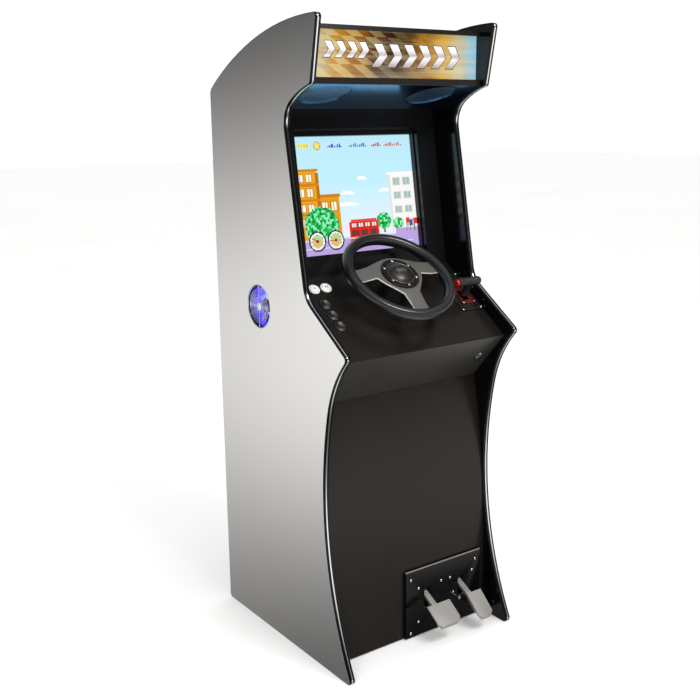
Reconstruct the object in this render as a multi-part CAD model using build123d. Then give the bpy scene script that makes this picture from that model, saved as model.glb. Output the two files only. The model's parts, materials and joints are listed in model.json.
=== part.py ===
from build123d import *
import os
from math import cos, radians, sin

os.makedirs("parts", exist_ok=True)

# An upright racing cabinet. Millimetres, X to the player's right, Z up from the floor.
# While the parts are made, Y runs to the back from the front of the side panels' toes.
# The last section moves every part so that the middle of the whole box is at Y = 0.

# ---- Driving dimensions -------------------------------------------------------------------
height = 1700
depth = 639
width = 586
side_board = 18
skin_board = 15
trim_proud = 2
inner = width / 2 - side_board

toe = (-5, 0)
waist = (110, 490)
knee = (85, 724)
chin = (8, 873)
nose = (-0.9, 882.7)
lap = (179, 1008)
brow_start = (257, 1432)
brow_corner = (138.3, 1540.5)
brow_radius = 70
crown_front = (107, height)
crown_flat = (120, height)
crown_radius = 910

panel_front = (34.5, 864.5)
panel_back = (284.3, 1045.1)
bezel_top = (353.4, 1482.5)
canopy_front = (165, 1540)
apron_foot = (155.3, 730.1)
kick_top = (102, 205)
kick_foot = (102, 4)

rear_face = depth - 12
roof_drop = 18
wheel_s = 207.3
wheel_height = 70.5
rim_radius = 148
rim_half_width = 14
rim_half_depth = 16
shaft_radius = 8.5
fit = 0.06

nodes = {}


def add(name, *shapes):
    """Keep the solids of one named sub-part until they are written."""
    nodes[name] = [solid for shape in shapes for solid in shape.solids()]


# ---- Helpers ------------------------------------------------------------------------------
def across(points, x_low, x_high):
    """A prism across the cabinet from its outline in Y and Z."""
    outline = Plane.YZ.offset(x_low) * make_face(Polyline(*points, close=True))
    return extrude(outline, amount=x_high - x_low, dir=(1, 0, 0))


def block(x, y, z):
    """A box between two values on each axis."""
    size = (x[1] - x[0], y[1] - y[0], z[1] - z[0])
    centre = ((x[0] + x[1]) / 2, (y[0] + y[1]) / 2, (z[0] + z[1]) / 2)
    return Pos(*centre) * Box(*size)


def rod(radius, low, high, bore=0):
    """A round bar or tube along local Z between two heights."""
    bar = Pos(0, 0, (low + high) / 2) * Cylinder(radius, high - low)
    if bore:
        bar -= Pos(0, 0, (low + high) / 2) * Cylinder(bore, high - low + 2)
    return bar


def rod_x(radius, x_low, x_high, y, z, bore=0):
    """A round bar or tube along X, at a place in Y and Z."""
    return Pos(0, y, z) * Rot(0, 90, 0) * rod(radius, x_low, x_high, bore)


def board_plane(low, high):
    """The front face of a board: X across, local Y from low to high, local Z outwards."""
    rise = Vector(0, high[0] - low[0], high[1] - low[1]).normalized()
    return Plane(origin=(0, *low), x_dir=(1, 0, 0), z_dir=Vector(1, 0, 0).cross(rise))


def meet(p, along_p, q, along_q):
    """Where two lines in the YZ plane cross."""
    det = along_p[0] * along_q[1] - along_p[1] * along_q[0]
    t = ((q[0] - p[0]) * along_q[1] - (q[1] - p[1]) * along_q[0]) / det
    return (p[0] + t * along_p[0], p[1] + t * along_p[1])


def inner_line(low, high, thickness):
    """The inner face of a board in the YZ plane, as a point and a direction."""
    length = ((high[0] - low[0]) ** 2 + (high[1] - low[1]) ** 2) ** 0.5
    along = ((high[0] - low[0]) / length, (high[1] - low[1]) / length)
    return (low[0] + along[1] * thickness, low[1] - along[0] * thickness), along


def bar_outline(points, thickness):
    """The outline of a bent flat bar from its centre line in Y and Z."""
    sides = []
    for offset in (thickness / 2, -thickness / 2):
        lines = [inner_line(a, b, offset) for a, b in zip(points, points[1:])]
        end = inner_line(points[-1], points[-2], -offset)[0]
        corners = [meet(*first, *second) for first, second in zip(lines, lines[1:])]
        sides.append([lines[0][0], *corners, end])
    return sides[0] + sides[1][::-1]


panel = board_plane(panel_front, panel_back)
bezel = board_plane(panel_back, bezel_top)
canopy = board_plane(bezel_top, canopy_front)
apron = board_plane(apron_foot, panel_front)
column = Plane(panel.from_local_coords((0, wheel_s, 0)), x_dir=(1, 0, 0), z_dir=panel.z_dir)


# ---- Side panels and their edge trim --------------------------------------------------------
def arc_point(centre, radius, angle):
    return (centre[0] + radius * cos(radians(angle)), centre[1] + radius * sin(radians(angle)))


def side_face():
    """The outline of a side panel, with its corners rounded."""
    lean = 80
    centre = arc_point(brow_start, brow_radius, lean + 90)
    brow_end = arc_point(centre, brow_radius, 56)
    back_drop = (crown_radius**2 - (depth - crown_flat[0]) ** 2) ** 0.5
    back_top = (depth, height - crown_radius + back_drop)
    upper = TangentArc(waist, knee, tangent=(0, 1))
    brow = TangentArc(brow_start, brow_end, tangent=(cos(radians(lean)), sin(radians(lean))))
    crown = TangentArc(crown_flat, back_top, tangent=(1, 0))
    edges = [
        TangentArc(waist, toe, tangent=(0, -1)),
        upper,
        TangentArc(knee, chin, tangent=upper % 1),
        Polyline(chin, nose, lap, brow_start),
        brow,
        TangentArc(brow_end, brow_corner, tangent=brow % 1),
        Polyline(brow_corner, crown_front, crown_flat),
        crown,
        Polyline(back_top, (depth, 0), toe),
    ]
    face = make_face(edges)
    corners = {toe: 10, nose: 11, lap: 75, brow_corner: 8, crown_front: 9}
    corners.update({back_top: 20, (depth, 0): 12})
    for place, radius in corners.items():
        nearest = face.vertices().sort_by_distance(Vector(*place))[0]
        face = fillet(nearest, radius)
    return face


side = side_face()
trim_end = depth - 19
trim_keep = Pos(trim_end - 400, height / 2 + 20) * Rectangle(800, height + 40)
trim_face = (offset(side, amount=trim_proud) - side) & trim_keep

fan_y = 409
fan_z = 958
fan_hole = 60
left_x = (-width / 2, -inner)
right_x = (inner, width / 2)
panel_left = extrude(Plane.YZ.offset(left_x[0]) * side, amount=side_board, dir=(1, 0, 0))
panel_right = extrude(Plane.YZ.offset(right_x[0]) * side, amount=side_board, dir=(1, 0, 0))
add("side_panel_left", panel_left - rod_x(fan_hole, left_x[0] - 1, left_x[1] + 1, fan_y, fan_z))
add("side_panel_right", panel_right)
trims = [
    extrude(Plane.YZ.offset(x[0]) * trim_face, amount=side_board, dir=(1, 0, 0))
    for x in (left_x, right_x)
]
add("edge_trims", *trims)

# ---- Boards between the side panels ---------------------------------------------------------
apron_line = inner_line(apron_foot, panel_front, skin_board)
panel_line = inner_line(panel_front, panel_back, skin_board)
bezel_line = inner_line(panel_back, bezel_top, skin_board)
canopy_line = inner_line(bezel_top, canopy_front, skin_board)
kick_arc = TangentArc(kick_top, apron_foot, tangent=(0, 1))
kick_end = kick_arc % 1
kick_top_line = ((apron_foot[0] + kick_end.Y * skin_board, apron_foot[1] - kick_end.X * skin_board),
                 (kick_end.X, kick_end.Y))
corner_kick = meet(*kick_top_line, *apron_line)
corner_apron = meet(*apron_line, *panel_line)
corner_panel = meet(*panel_line, *bezel_line)
corner_bezel = meet(*bezel_line, *canopy_line)
canopy_end = inner_line(canopy_front, bezel_top, -skin_board)[0]


def skin(points, *holes):
    """One board of the cabinet's front, cut by its holes."""
    solid = across(points, -inner, inner)
    for hole in holes:
        solid -= hole
    return solid


def on(plane, x, y, angle=0):
    """A place on the face of a board."""
    return plane.location * Pos(x, y, 0) * Rot(0, 0, angle)


# Lower front panel: straight behind the pedals, then a long bend back to the apron.
pedals = {"brake": 50.5, "gas": 179}
inner_arc = TangentArc(
    (kick_top[0] + skin_board, kick_top[1]), corner_kick, tangent=(0, 1)
)
kick_edges = [
    Line(kick_foot, kick_top),
    kick_arc,
    Line(apron_foot, corner_kick),
    inner_arc,
    Polyline(inner_arc @ 0, (kick_foot[0] + skin_board, kick_foot[1]), kick_foot),
]
kick = extrude(Plane.YZ.offset(-inner) * make_face(kick_edges), amount=2 * inner, dir=(1, 0, 0))
slot_z = (84, 142)
for x in pedals.values():
    kick -= block((x - 14, x + 14), (95, 125), (slot_z[0] - 6, slot_z[1] + 6))
add("lower_front_panel", kick)

# Apron, with the hole of the credit button.
button_hole = 14
credit_place = on(apron, 236.4, 91)
apron_points = [apron_foot, panel_front, corner_apron, corner_kick]
add("apron_panel", skin(apron_points, credit_place * rod(button_hole, -30, 10)))

# Control panel, with the holes of the column, the shifter and the buttons.
shift_x = 235
shift_s = 163
start_places = [on(panel, -218, 262), on(panel, -180, 262)]
action_places = [on(panel, -215, s) for s in (203, 162, 122)]
slot = on(panel, shift_x, shift_s) * Box(37, 50, 60)
panel_holes = [place * rod(button_hole, -30, 10) for place in start_places + action_places]
panel_points = [panel_front, panel_back, corner_panel, corner_apron]
add("control_panel", skin(panel_points, slot, column * rod(22, -30, 10), *panel_holes))

# Screen bezel with its window.
window_x = 208
window_low = 40
window_high = 390
window_mid = (window_low + window_high) / 2
window = on(bezel, 0, window_mid) * Box(2 * window_x, window_high - window_low, 60)
bezel_points = [panel_back, bezel_top, corner_bezel, corner_panel]
add("bezel_panel", skin(bezel_points, window))

# Speaker panel under the marquee.
speaker_hole = 70
speaker_places = [on(canopy, x, 115.5) for x in (-175, 175)]
canopy_points = [bezel_top, canopy_front, canopy_end, corner_bezel]
canopy_holes = [place * rod(speaker_hole, -30, 10) for place in speaker_places]
add("speaker_panel", skin(canopy_points, *canopy_holes))


def crown_at(y, drop):
    """The height of an arc that runs at a distance below the side panels' top."""
    return height - crown_radius + ((crown_radius - drop) ** 2 - (y - crown_flat[0]) ** 2) ** 0.5


roof_front = 174
roof_mid = (roof_front + rear_face) / 2
roof_top = ThreePointArc(*[(y, crown_at(y, roof_drop)) for y in (roof_front, roof_mid, rear_face)])
roof_low = roof_drop + skin_board
roof_under = ThreePointArc(*[(y, crown_at(y, roof_low)) for y in (rear_face, roof_mid, roof_front)])
roof_edges = [roof_top, Line(roof_top @ 1, roof_under @ 0), roof_under]
roof_edges.append(Line(roof_under @ 1, roof_top @ 0))
roof = extrude(Plane.YZ.offset(-inner) * make_face(roof_edges), amount=2 * inner, dir=(1, 0, 0))
add("roof_panel", roof)

rear_inside = rear_face - skin_board
base_z = (50, 68)
add("base_board", block((-inner, inner), (kick_foot[0] + skin_board, rear_inside), base_z))

# ---- Back: two fixed panels, a hinged door and its cam lock ----------------------------------
door_z = (420, 1220)
door_gap = 2
rear_top_z = crown_at(rear_face, roof_low) - 1
rear_top = block((-inner, inner), (rear_inside, rear_face), (door_z[1] + door_gap, rear_top_z))
for row in range(6):
    for x in (-90, 90):
        vent = block((x - 70, x + 70), (rear_inside - 5, rear_face + 5), (0, 9))
        rear_top -= Pos(0, 0, 1330 + 24 * row) * vent
add("rear_panel_top", rear_top)

inlet_x = 190
inlet_z = 140
inlet_cut = block((inlet_x - 24, inlet_x + 24), (600, 640), (inlet_z - 14, inlet_z + 14))
rear_low = block((-inner, inner), (rear_inside, rear_face), (12, door_z[0] - door_gap))
add("rear_panel_bottom", rear_low - inlet_cut)

lock_x = 238
lock_z = 820
lock_at = Pos(lock_x, rear_face, lock_z) * Rot(-90, 0, 0)
door = block((-inner + door_gap, inner - door_gap), (rear_inside, rear_face), door_z)
add("rear_door", door - lock_at * rod(9.5, -30, 10))

hinge_x = -inner + 5
hinge_y = rear_face + 5
knuckle = 4
pin = 1.6
leaf = 2
hinge_fixed = []
hinge_moving = []
for z in (540, 1100):
    pivot = Pos(hinge_x, hinge_y, z)
    plate = block((-5, -5 + leaf), (-24, 3), (-30, 30)) - rod(knuckle + 0.3, -10.3, 10.3)
    post = plate + rod(knuckle, -30, -10.3) + rod(knuckle, 10.3, 30) + rod(pin, -30, 30)
    hinge_fixed.append(pivot * post)
    flap = block((0, 34), (-5, -5 + leaf), (-10, 10)) + rod(knuckle, -10, 10)
    hinge_moving.append(pivot * (flap - rod(pin + fit, -12, 12)))
striker = block((inner - 13, inner), (600, 603), (lock_z - 20, lock_z + 20))
striker += block((inner - 3, inner), (575, 600), (lock_z - 20, lock_z + 20))
add("door_hinge_fixed", *hinge_fixed, striker)

plug = 7
lock_body = rod(9.5, -skin_board - 4, 0, plug + fit) + rod(12, 0, 3, plug + fit)
add("door_fittings", *hinge_moving, lock_at * lock_body)
cam = Pos(0, 12, -skin_board - 15) * Box(14, 38, 3)
lock_plug = rod(plug, -skin_board - 16, 3) + cam
lock_plug -= Pos(0, 0, 3) * Box(2, 9, 3)
add("door_lock_cam", lock_at * lock_plug)

# ---- Marquee --------------------------------------------------------------------------------
art_y = (169.5, 173.5)
art_z = (1554.6, 1676)
art_view = (1555.8, 1669.7)
add("marquee_panel", block((-inner + 0.5, inner - 0.5), art_y, art_z))
strip_low = [(153, 1540.5), (164.6, 1540.5), (169, art_view[0]), (153, art_view[0])]
strip_high = [(156, art_view[1]), (art_y[0], art_view[1]), (art_y[0], 1681), (159, 1681)]
add("marquee_retainers", across(strip_low, -inner, inner), across(strip_high, -inner, inner))
lamp_batten = block((-inner, inner), (226, 246), (1606, 1632))
lamp_tube = rod_x(7, -215, 215, 214, 1619)
lamp_ends = [block((x - 10, x + 10), (206, 226), (1609, 1629)) for x in (-225, 225)]
add("marquee_light", lamp_batten, lamp_tube, *lamp_ends)

# ---- Speakers -------------------------------------------------------------------------------
grilles = []
speakers = []
for place in speaker_places:
    grilles.append(place * rod(speaker_hole - 0.4, -6, -3))
    cone = Pos(0, 0, -37) * Cone(28, 64, 36)
    chassis = rod(75, -skin_board - 4, -skin_board) + cone + rod(35, -75, -54)
    chassis -= rod(66, -skin_board - 3, 0)
    speakers.append(place * chassis)
add("speaker_grilles", *grilles)
add("speakers", *speakers)

# ---- Monitor --------------------------------------------------------------------------------
image_x = 204
image_low = 54.5
image_high = 373.3
image_mid = (image_low + image_high) / 2
image_tall = image_high - image_low
recess = 30
screen_at = on(bezel, 0, image_mid)
housing = Pos(0, 0, -45) * Box(2 * image_x + 40, image_tall + 48, 60)
housing -= Pos(0, 0, -20) * Box(2 * image_x, image_tall, 2 * recess)
pocket = Pos(0, 0, -recess - 3) * Box(2 * image_x + 12, image_tall + 12, 6)
add("monitor_housing", screen_at * (housing - pocket))
add("monitor_screen", screen_at * Pos(0, 0, -recess - 3) * Box(2 * image_x + 10, image_tall + 10, 5.6))
add("monitor_batten", screen_at * Pos(0, 0, -84) * Box(2 * inner, 60, 18))

# ---- Steering: everything turns about the column, square to the control panel -----------------
gear_module = 2
wheel_teeth = 33
pot_teeth = 30
gear_gap = gear_module * (wheel_teeth + pot_teeth) / 2
gear_z = (-112, -102)


def gear(teeth, bore, turned=0):
    """A spur gear with straight flanks and room for backlash."""
    pitch = gear_module * teeth / 2
    root = pitch - 1.2 * gear_module
    tip = pitch + 0.8 * gear_module
    flank = 0.36
    half = 0.62 * gear_module
    outline = Circle(root)
    tooth = make_face(
        Polyline(
            (root - 1, half + (pitch - root + 1) * flank),
            (tip, half - (tip - pitch) * flank),
            (tip, -half + (tip - pitch) * flank),
            (root - 1, -half - (pitch - root + 1) * flank),
            close=True,
        )
    )
    for count in range(teeth):
        outline += Rot(0, 0, turned + 360 * count / teeth) * tooth
    outline -= Circle(bore)
    return Pos(0, 0, gear_z[0]) * extrude(outline, amount=gear_z[1] - gear_z[0], dir=(0, 0, 1))


rim_plane = column * Pos(0, 0, wheel_height)
rim_section = Plane.XZ * Pos(rim_radius, 0) * Ellipse(rim_half_width, rim_half_depth)
rim = revolve(rim_section, Axis.Z)
spoke_thick = 5
spoke_rim_top = -1
spoke_hub_top = 6
dish_radii = (66, 112)


def spoke_plate():
    """The three-armed plate, dished so that its middle stands nearer to the driver than its ends."""
    edge = rim_radius - 6
    right = [(0, 64), (20, 62), (82, 44.5), (edge, 38), (edge, -4), (75, -1.5), (61, -27), (26, -69)]
    right += [(22.5, -110), (22.5, -edge)]
    outline = make_face(Polyline(*right, *[(-x, y) for x, y in reversed(right[1:])], close=True))
    inner, outer = dish_radii
    top = [(0, spoke_hub_top), (inner, spoke_hub_top), (outer, spoke_rim_top), (edge + 4, spoke_rim_top)]
    bottom = [(r, z - spoke_thick) for r, z in reversed(top)]
    dish = revolve(Plane.XZ * make_face(Polyline(*top, *bottom, close=True)), Axis.Z)
    deep = spoke_hub_top - spoke_rim_top + 2 * spoke_thick
    return Pos(0, 0, spoke_rim_top - 1.5 * spoke_thick) * extrude(outline, amount=deep, dir=(0, 0, 1)) & dish


spokes = spoke_plate() - rod(12, -10, spoke_hub_top + 1)
add("steering_rim", rim_plane * (rim - spokes))
add("steering_spokes", rim_plane * spokes)
hub_top = 11
cap_radius = 37
hub_ring = rod(55, spoke_hub_top, hub_top, cap_radius + 0.5)
hub_ring = chamfer(hub_ring.edges().group_by(Axis.Z)[-1].sort_by(SortBy.RADIUS)[-1], 1.5)
cap_dome = Pos(0, 0, hub_top - 51) * Sphere(63) & rod(cap_radius, spoke_hub_top, hub_top + 14)
add("steering_hub", rim_plane * hub_ring)
add("steering_cap", rim_plane * cap_dome)
bolt_circle = 46.5
bolts = []
for count in range(6):
    bolt = Pos(0, 0, hub_top) * Cone(4.6, 3.6, 3, align=(Align.CENTER, Align.CENTER, Align.MIN))
    bolt -= Pos(0, 0, hub_top + 3) * extrude(RegularPolygon(2.2, 6), amount=-2)
    bolts.append(rim_plane * Rot(0, 0, 30 + 60 * count) * Pos(bolt_circle, 0, 0) * bolt)
add("steering_bolts", *bolts)

shaft_top = wheel_height + spoke_hub_top - spoke_thick
shaft = rod(shaft_radius, -118, shaft_top + 4) + rod(30, shaft_top - 16, shaft_top)
shaft += rod(14, gear_z[0] - 4, gear_z[0])
add("steering_shaft", column * shaft)

tube_radius = 28
flange = rod(tube_radius, -92, -skin_board) + Pos(0, 0, -skin_board - 3) * Box(110, 110, 6)
arm_plate = Pos(gear_gap / 2, 0, -89) * Box(gear_gap + 40, 50, 6)
pot_axle = 4
pot = Pos(gear_gap, 0, 0) * (rod(pot_axle, gear_z[0] - 6, -86) + rod(13, -86, -62))
cover = Pos(0, 0, 22) * Cone(37, 29, 44) - rod(16, -5, 50)
frame = flange + arm_plate - rod(17.5, -100, -10)
bearings = [rod(17.45, low, low + 12, shaft_radius + fit) for low in (-90, -30)]
frame += pot
add("steering_column", column * frame, column * cover, *[column * ring for ring in bearings])
add("steering_gear", column * gear(wheel_teeth, shaft_radius + fit / 2))
pot_place = column * Pos(gear_gap, 0, 0)
pot_turn = 180 + 180 / pot_teeth
add("potentiometer_gear", pot_place * gear(pot_teeth, pot_axle + fit, pot_turn))

# ---- Shifter --------------------------------------------------------------------------------
shifter = on(panel, shift_x, shift_s)
lever_pivot = -45
lever_radius = 5.5
lever_top = 52
shift_plate = Pos(0, 18, 1.5) * Box(76, 148, 3) - Box(20, 40, 30)
shift_plate = fillet(shift_plate.edges().filter_by(Axis.Z).sort_by(Axis.Y)[:2], 8)
add("shifter_plate", shifter * shift_plate)
gate = Pos(2.5, 0, 4.2) * Box(47, 64, 2.4) - Box(22, 38, 30)
add("shifter_gate", shifter * fillet(gate.edges().filter_by(Axis.Z).sort_by(Axis.Y)[:2], 5))
cheeks = [Pos(x, 0, -38) * Box(3, 44, 46) for x in (-17.5, 17.5)]
shift_frame = Pos(0, 0, -skin_board - 1.5) * Box(38, 60, 3) - Pos(0, 0, -skin_board) * Box(32, 44, 20)
shift_frame += cheeks
shift_frame += Pos(0, 0, lever_pivot) * Rot(0, 90, 0) * rod(4, -19, 19)
add("shifter_bracket", shifter * shift_frame)
lever_axle = Pos(0, 0, lever_pivot) * Rot(0, 90, 0)
lever_boss = lever_axle * rod(9, -15.5, 15.5, 4 + fit)
lever_rod = rod(lever_radius, lever_pivot + 6, lever_top) - lever_axle * rod(4 + fit, -20, 20)
add("shifter_lever", shifter * (lever_boss + lever_rod))

grip_height = 60
grip_radius = 12
grip_x = (-49, 35)
button_radius = 10
grip = rod(grip_radius, grip_x[0] + 10, grip_x[1] - grip_radius)
grip += Pos(0, 0, grip_x[1] - grip_radius) * Sphere(grip_radius)
grip += rod(grip_radius + 1.5, grip_x[0], grip_x[0] + 12)
grip -= rod(button_radius + fit, grip_x[0] - 1, grip_x[0] + 10)
boot = Pos(0, 0, 31) * Cone(13, 9, 40)
handle = Pos(0, 0, grip_height) * Rot(0, 90, 0) * grip + boot - rod(lever_radius + fit, 0, lever_top + fit)
add("shifter_grip", shifter * handle)
press = rod(button_radius, grip_x[0] - 7, grip_x[0] + 6)
press = fillet(press.edges().group_by(Axis.Z)[0], 3)
add("shifter_button", shifter * Pos(0, 0, grip_height) * Rot(0, 90, 0) * press)

# ---- Push buttons ---------------------------------------------------------------------------
plunger_radius = 12


def button_housing():
    """The screwed-in body: a bezel above the board and a barrel, nut and switch below it."""
    bezel_ring = rod(16.5, 0, 3.2, plunger_radius + fit)
    bezel_ring = fillet(bezel_ring.edges().group_by(Axis.Z)[-1].sort_by(SortBy.RADIUS)[-1], 2)
    body = bezel_ring + rod(button_hole - 0.5, -32, 0, plunger_radius + fit)
    nut = rod(18, -skin_board - 8, -skin_board - 0.2, button_hole - 0.5)
    return body + nut + Pos(0, 0, -38) * Box(26, 14, 12)


def plunger(dished):
    """The part that travels; dished in the middle or slightly domed."""
    if dished:
        return rod(plunger_radius, -20, 4.4) - Pos(0, 0, 29.4) * Sphere(27)
    return fillet(rod(plunger_radius, -20, 5).edges().group_by(Axis.Z)[-1], 2.2)


credit_places = [credit_place]
buttons = {"start_button": start_places, "action_button": action_places}
buttons["credit_button"] = credit_places
housings = []
for name, places in buttons.items():
    for count, place in enumerate(places, 1):
        housings.append(place * button_housing())
        add(f"{name}_{count}", place * plunger(name == "action_button"))
add("button_housings", *housings)

# ---- Pedals ---------------------------------------------------------------------------------
plate_y = (92, 102)
plate_x = (-29, 253)
plate_z = (4, 210)
pivot = (128, 150)
axle = 4
arm_width = 18
arm_thick = 9
cheek = (9.6, 12.4)
plate = block(plate_x, plate_y, plate_z)
plate = chamfer(plate.edges().filter_by(Axis.X).group_by(Axis.Z)[-1].sort_by(Axis.Y)[0], 2.5)
for x in pedals.values():
    plate -= block((x - 11, x + 11), (80, 110), slot_z)
add("pedal_plate", plate)

pads = {
    "brake": {"low": (-1.7, 65), "high": (56, 106), "x": (19.7, 103.4)},
    "gas": {"low": (-8.3, 47.9), "high": (52.8, 104.3), "x": (167, 221.7)},
}
pad_thick = 5
pad_corner = 10
brackets = []
springs = []
for name, x in pedals.items():
    pad = pads[name]
    face = board_plane(pad["low"], pad["high"])
    length = (Vector(pad["high"]) - Vector(pad["low"])).length
    left, right = pad["x"]
    outline = make_face(
        Polyline(
            (left + pad_corner, 0), (right - pad_corner, 0), (right, pad_corner), (right, length),
            (left, length), (left, pad_corner), close=True,
        )
    )
    tread = extrude(outline, amount=-pad_thick, dir=(0, 0, 1))
    lip = block((left + pad_corner, right - pad_corner), (0, 4), (-14, -pad_thick))
    add(f"{name}_pad", face * (tread + lip))
    under = -pad_thick - arm_thick / 2
    near = face.from_local_coords((0, length + 4, under))
    far = face.from_local_coords((0, 0.3 * length, under))
    line = [pivot, (104, 122), (near.Y, near.Z), (far.Y, far.Z)]
    arm = across(bar_outline(line, arm_thick), x - arm_width / 2, x + arm_width / 2)
    arm += rod_x(10, x - arm_width / 2, x + arm_width / 2, *pivot)
    add(f"{name}_arm", arm - rod_x(axle + fit, x - 20, x + 20, *pivot))
    mount = []
    for side_of in (-1, 1):
        cheek_x = sorted(x + side_of * reach for reach in cheek)
        tab_x = sorted((x + side_of * cheek[0], x + side_of * 30))
        mount.append(block(cheek_x, (117.2, 142), (134, 164)))
        mount.append(block(tab_x, (117.2, 120.2), (128, 172)))
    mount.append(rod_x(axle, x - cheek[1], x + 26, *pivot))
    brackets.append(mount[0] + mount[1:])
    for turn in range(5):
        coil = Pos(x + 14 + 2.3 * turn, *pivot) * Rot(0, 90, 0) * Torus(6.5, 1)
        springs.append(coil)
add("pedal_brackets", *brackets)
add("pedal_springs", *springs)


# ---- Screw heads ----------------------------------------------------------------------------
def screw(radius):
    """A low domed screw head standing on local Z = 0."""
    rise = 0.55 * radius
    ball = (radius**2 + rise**2) / (2 * rise)
    head = Pos(0, 0, rise - ball) * Sphere(ball) & rod(radius, 0, 2 * rise)
    return head - Pos(0, 0, rise) * extrude(RegularPolygon(0.45 * radius, 6), amount=-0.3 * radius)


plate_face = Plane((0, plate_y[0], 0), x_dir=(1, 0, 0), z_dir=(0, -1, 0))
corner_screws = [(x, z) for x in (-10, 234.5) for z in (182, 16.5)]
bracket_screws = [(x, z) for x in (18.5, 103, 137, 222) for z in (150, 46)]
screws = [plate_face * Pos(x, z, 0) * screw(4) for x, z in corner_screws + bracket_screws]
screws.append(plate_face * Pos(150, 100, 0) * screw(3))
stop_bolt = Pos(161, 84, 0) * (rod(3, 0, 12) + rod(5, 12, 15))
screws.append(plate_face * stop_bolt)
for x in (-32, 33):
    for s in (-50, 86):
        screws.append(shifter * Pos(x, s, 3) * screw(4))
for x in (-17, 22.5):
    for s in (-27, 27):
        screws.append(shifter * Pos(x, s, 5.4) * screw(3.4))
add("panel_screws", *screws)

# ---- Fan in the left side panel ---------------------------------------------------------------
duct = 58
fan_at = Pos(-inner, fan_y, fan_z) * Rot(0, 90, 0)
fan_depth = 25
frame_box = Pos(0, 0, fan_depth / 2) * Box(120, 120, fan_depth) - rod(duct, -1, fan_depth + 1)
frame_box = fillet(frame_box.edges().filter_by(Axis.Z).group_by(SortBy.LENGTH)[-1], 6)
struts = Box(4, 2 * duct + 2, 3) + Box(2 * duct + 2, 4, 3)
motor = rod(20, 18, fan_depth) + Pos(0, 0, 23) * struts + rod(2, 4, 20)
add("fan_frame", fan_at * (frame_box + motor))
blade_root = 18
blade_tip = 54
rotor = rod(20, 2, 17.4)
for count in range(9):
    blade = Pos((blade_root + blade_tip) / 2, 0, 9) * Rot(32, 0, 0) * Box(blade_tip - blade_root, 19, 1.8)
    rotor += Rot(0, 0, 40 * count) * blade
rotor = rotor & rod(blade_tip, 1.5, 17.5)
add("fan_rotor", fan_at * (rotor - rod(2 + fit, 3.6, 20)))
wire = 2.4
guard_radius = fan_hole - 0.2
guard = Sketch()
for radius in (13, 20, 27, 34, 41, 48, guard_radius):
    guard += Circle(radius) - Circle(radius - wire)
for angle in (0, 60, 120):
    guard += Rot(0, 0, angle) * (Rectangle(2 * guard_radius - wire, wire) - Circle(12))
add("fan_guard", fan_at * Pos(0, 0, -side_board) * extrude(guard, amount=wire, dir=(0, 0, 1)))

# ---- Inside: the computer, and the mains inlet with its switch --------------------------------
case = block((-180, 60), (300, 540), (base_z[1] + 6, base_z[1] + 76))
case = fillet(case.edges(), 3)
for x in (-160, 40):
    for y in (320, 520):
        case += Pos(x, y, 0) * rod(9, base_z[1], base_z[1] + 10)
add("game_computer", case)

inlet_body = block((-23.5, 23.5), (-28, 0), (-13.5, 13.5)) + block((-31, 31), (0, 2.5), (-18, 18))
inlet_body -= block((-20, 5), (-16, 10), (-10, 9))
for pin_x, pin_z in ((-15, -1), (-7.5, 2.5), (0, -1)):
    inlet_body += block((pin_x - 1, pin_x + 1), (-17, -4), (pin_z - 2.5, pin_z + 2.5))
rocker_x = 15
inlet_body -= block((rocker_x - 6.4, rocker_x + 6.4), (-14, 10), (-10.6, 10.6))
inlet_body -= rod_x(1 + fit, rocker_x - 8, rocker_x + 8, 0, 0)
inlet_at = Pos(inlet_x, rear_face, inlet_z)
add("power_inlet", inlet_at * inlet_body)
rocker_points = [(-4, -9.6), (5, -8.6), (2.6, 0), (1.9, 9.6), (-4, 9.6)]
rocker = across(rocker_points, rocker_x - 6, rocker_x + 6)
rocker += rod_x(1, rocker_x - 7.6, rocker_x + 7.6, 0, 0)
add("power_switch", inlet_at * rocker)

# ---- Write the nodes ------------------------------------------------------------------------
boxes = [solid.bounding_box() for solids in nodes.values() for solid in solids]
front = min(box.min.Y for box in boxes)
back = max(box.max.Y for box in boxes)
to_middle = Pos(0, -(front + back) / 2, 0)
for name, solids in nodes.items():
    moved = [to_middle * solid for solid in solids]
    export_step(moved[0] if len(moved) == 1 else Compound(children=moved), f"parts/{name}.step")
print(len(nodes), "nodes, shifted by", round(-(front + back) / 2, 3))
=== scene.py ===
"""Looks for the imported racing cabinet: materials, finer pieces that stand for CAD nodes, and a studio."""

import json
import random
from math import atan2, copysign, cos, exp, pi, radians, sin

import bmesh
import bpy
from mathutils import Matrix, Vector


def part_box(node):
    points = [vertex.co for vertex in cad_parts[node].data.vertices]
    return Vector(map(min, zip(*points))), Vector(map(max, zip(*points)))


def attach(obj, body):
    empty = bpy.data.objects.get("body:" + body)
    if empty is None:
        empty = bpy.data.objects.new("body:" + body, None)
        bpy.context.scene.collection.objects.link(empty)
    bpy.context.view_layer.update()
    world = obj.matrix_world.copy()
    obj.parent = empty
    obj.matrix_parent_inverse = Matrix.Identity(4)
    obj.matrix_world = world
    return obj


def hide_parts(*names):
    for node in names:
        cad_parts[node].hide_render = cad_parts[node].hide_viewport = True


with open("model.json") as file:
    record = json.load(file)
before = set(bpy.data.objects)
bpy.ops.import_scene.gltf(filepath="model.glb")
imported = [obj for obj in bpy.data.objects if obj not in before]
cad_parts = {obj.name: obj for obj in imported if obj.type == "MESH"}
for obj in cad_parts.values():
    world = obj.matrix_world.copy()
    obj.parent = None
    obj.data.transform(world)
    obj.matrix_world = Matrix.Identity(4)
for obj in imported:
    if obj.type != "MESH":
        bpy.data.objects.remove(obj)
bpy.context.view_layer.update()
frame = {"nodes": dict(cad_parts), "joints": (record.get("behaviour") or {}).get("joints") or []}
nodes = frame["nodes"]
joints = {joint["name"]: joint for joint in frame["joints"]}
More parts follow.
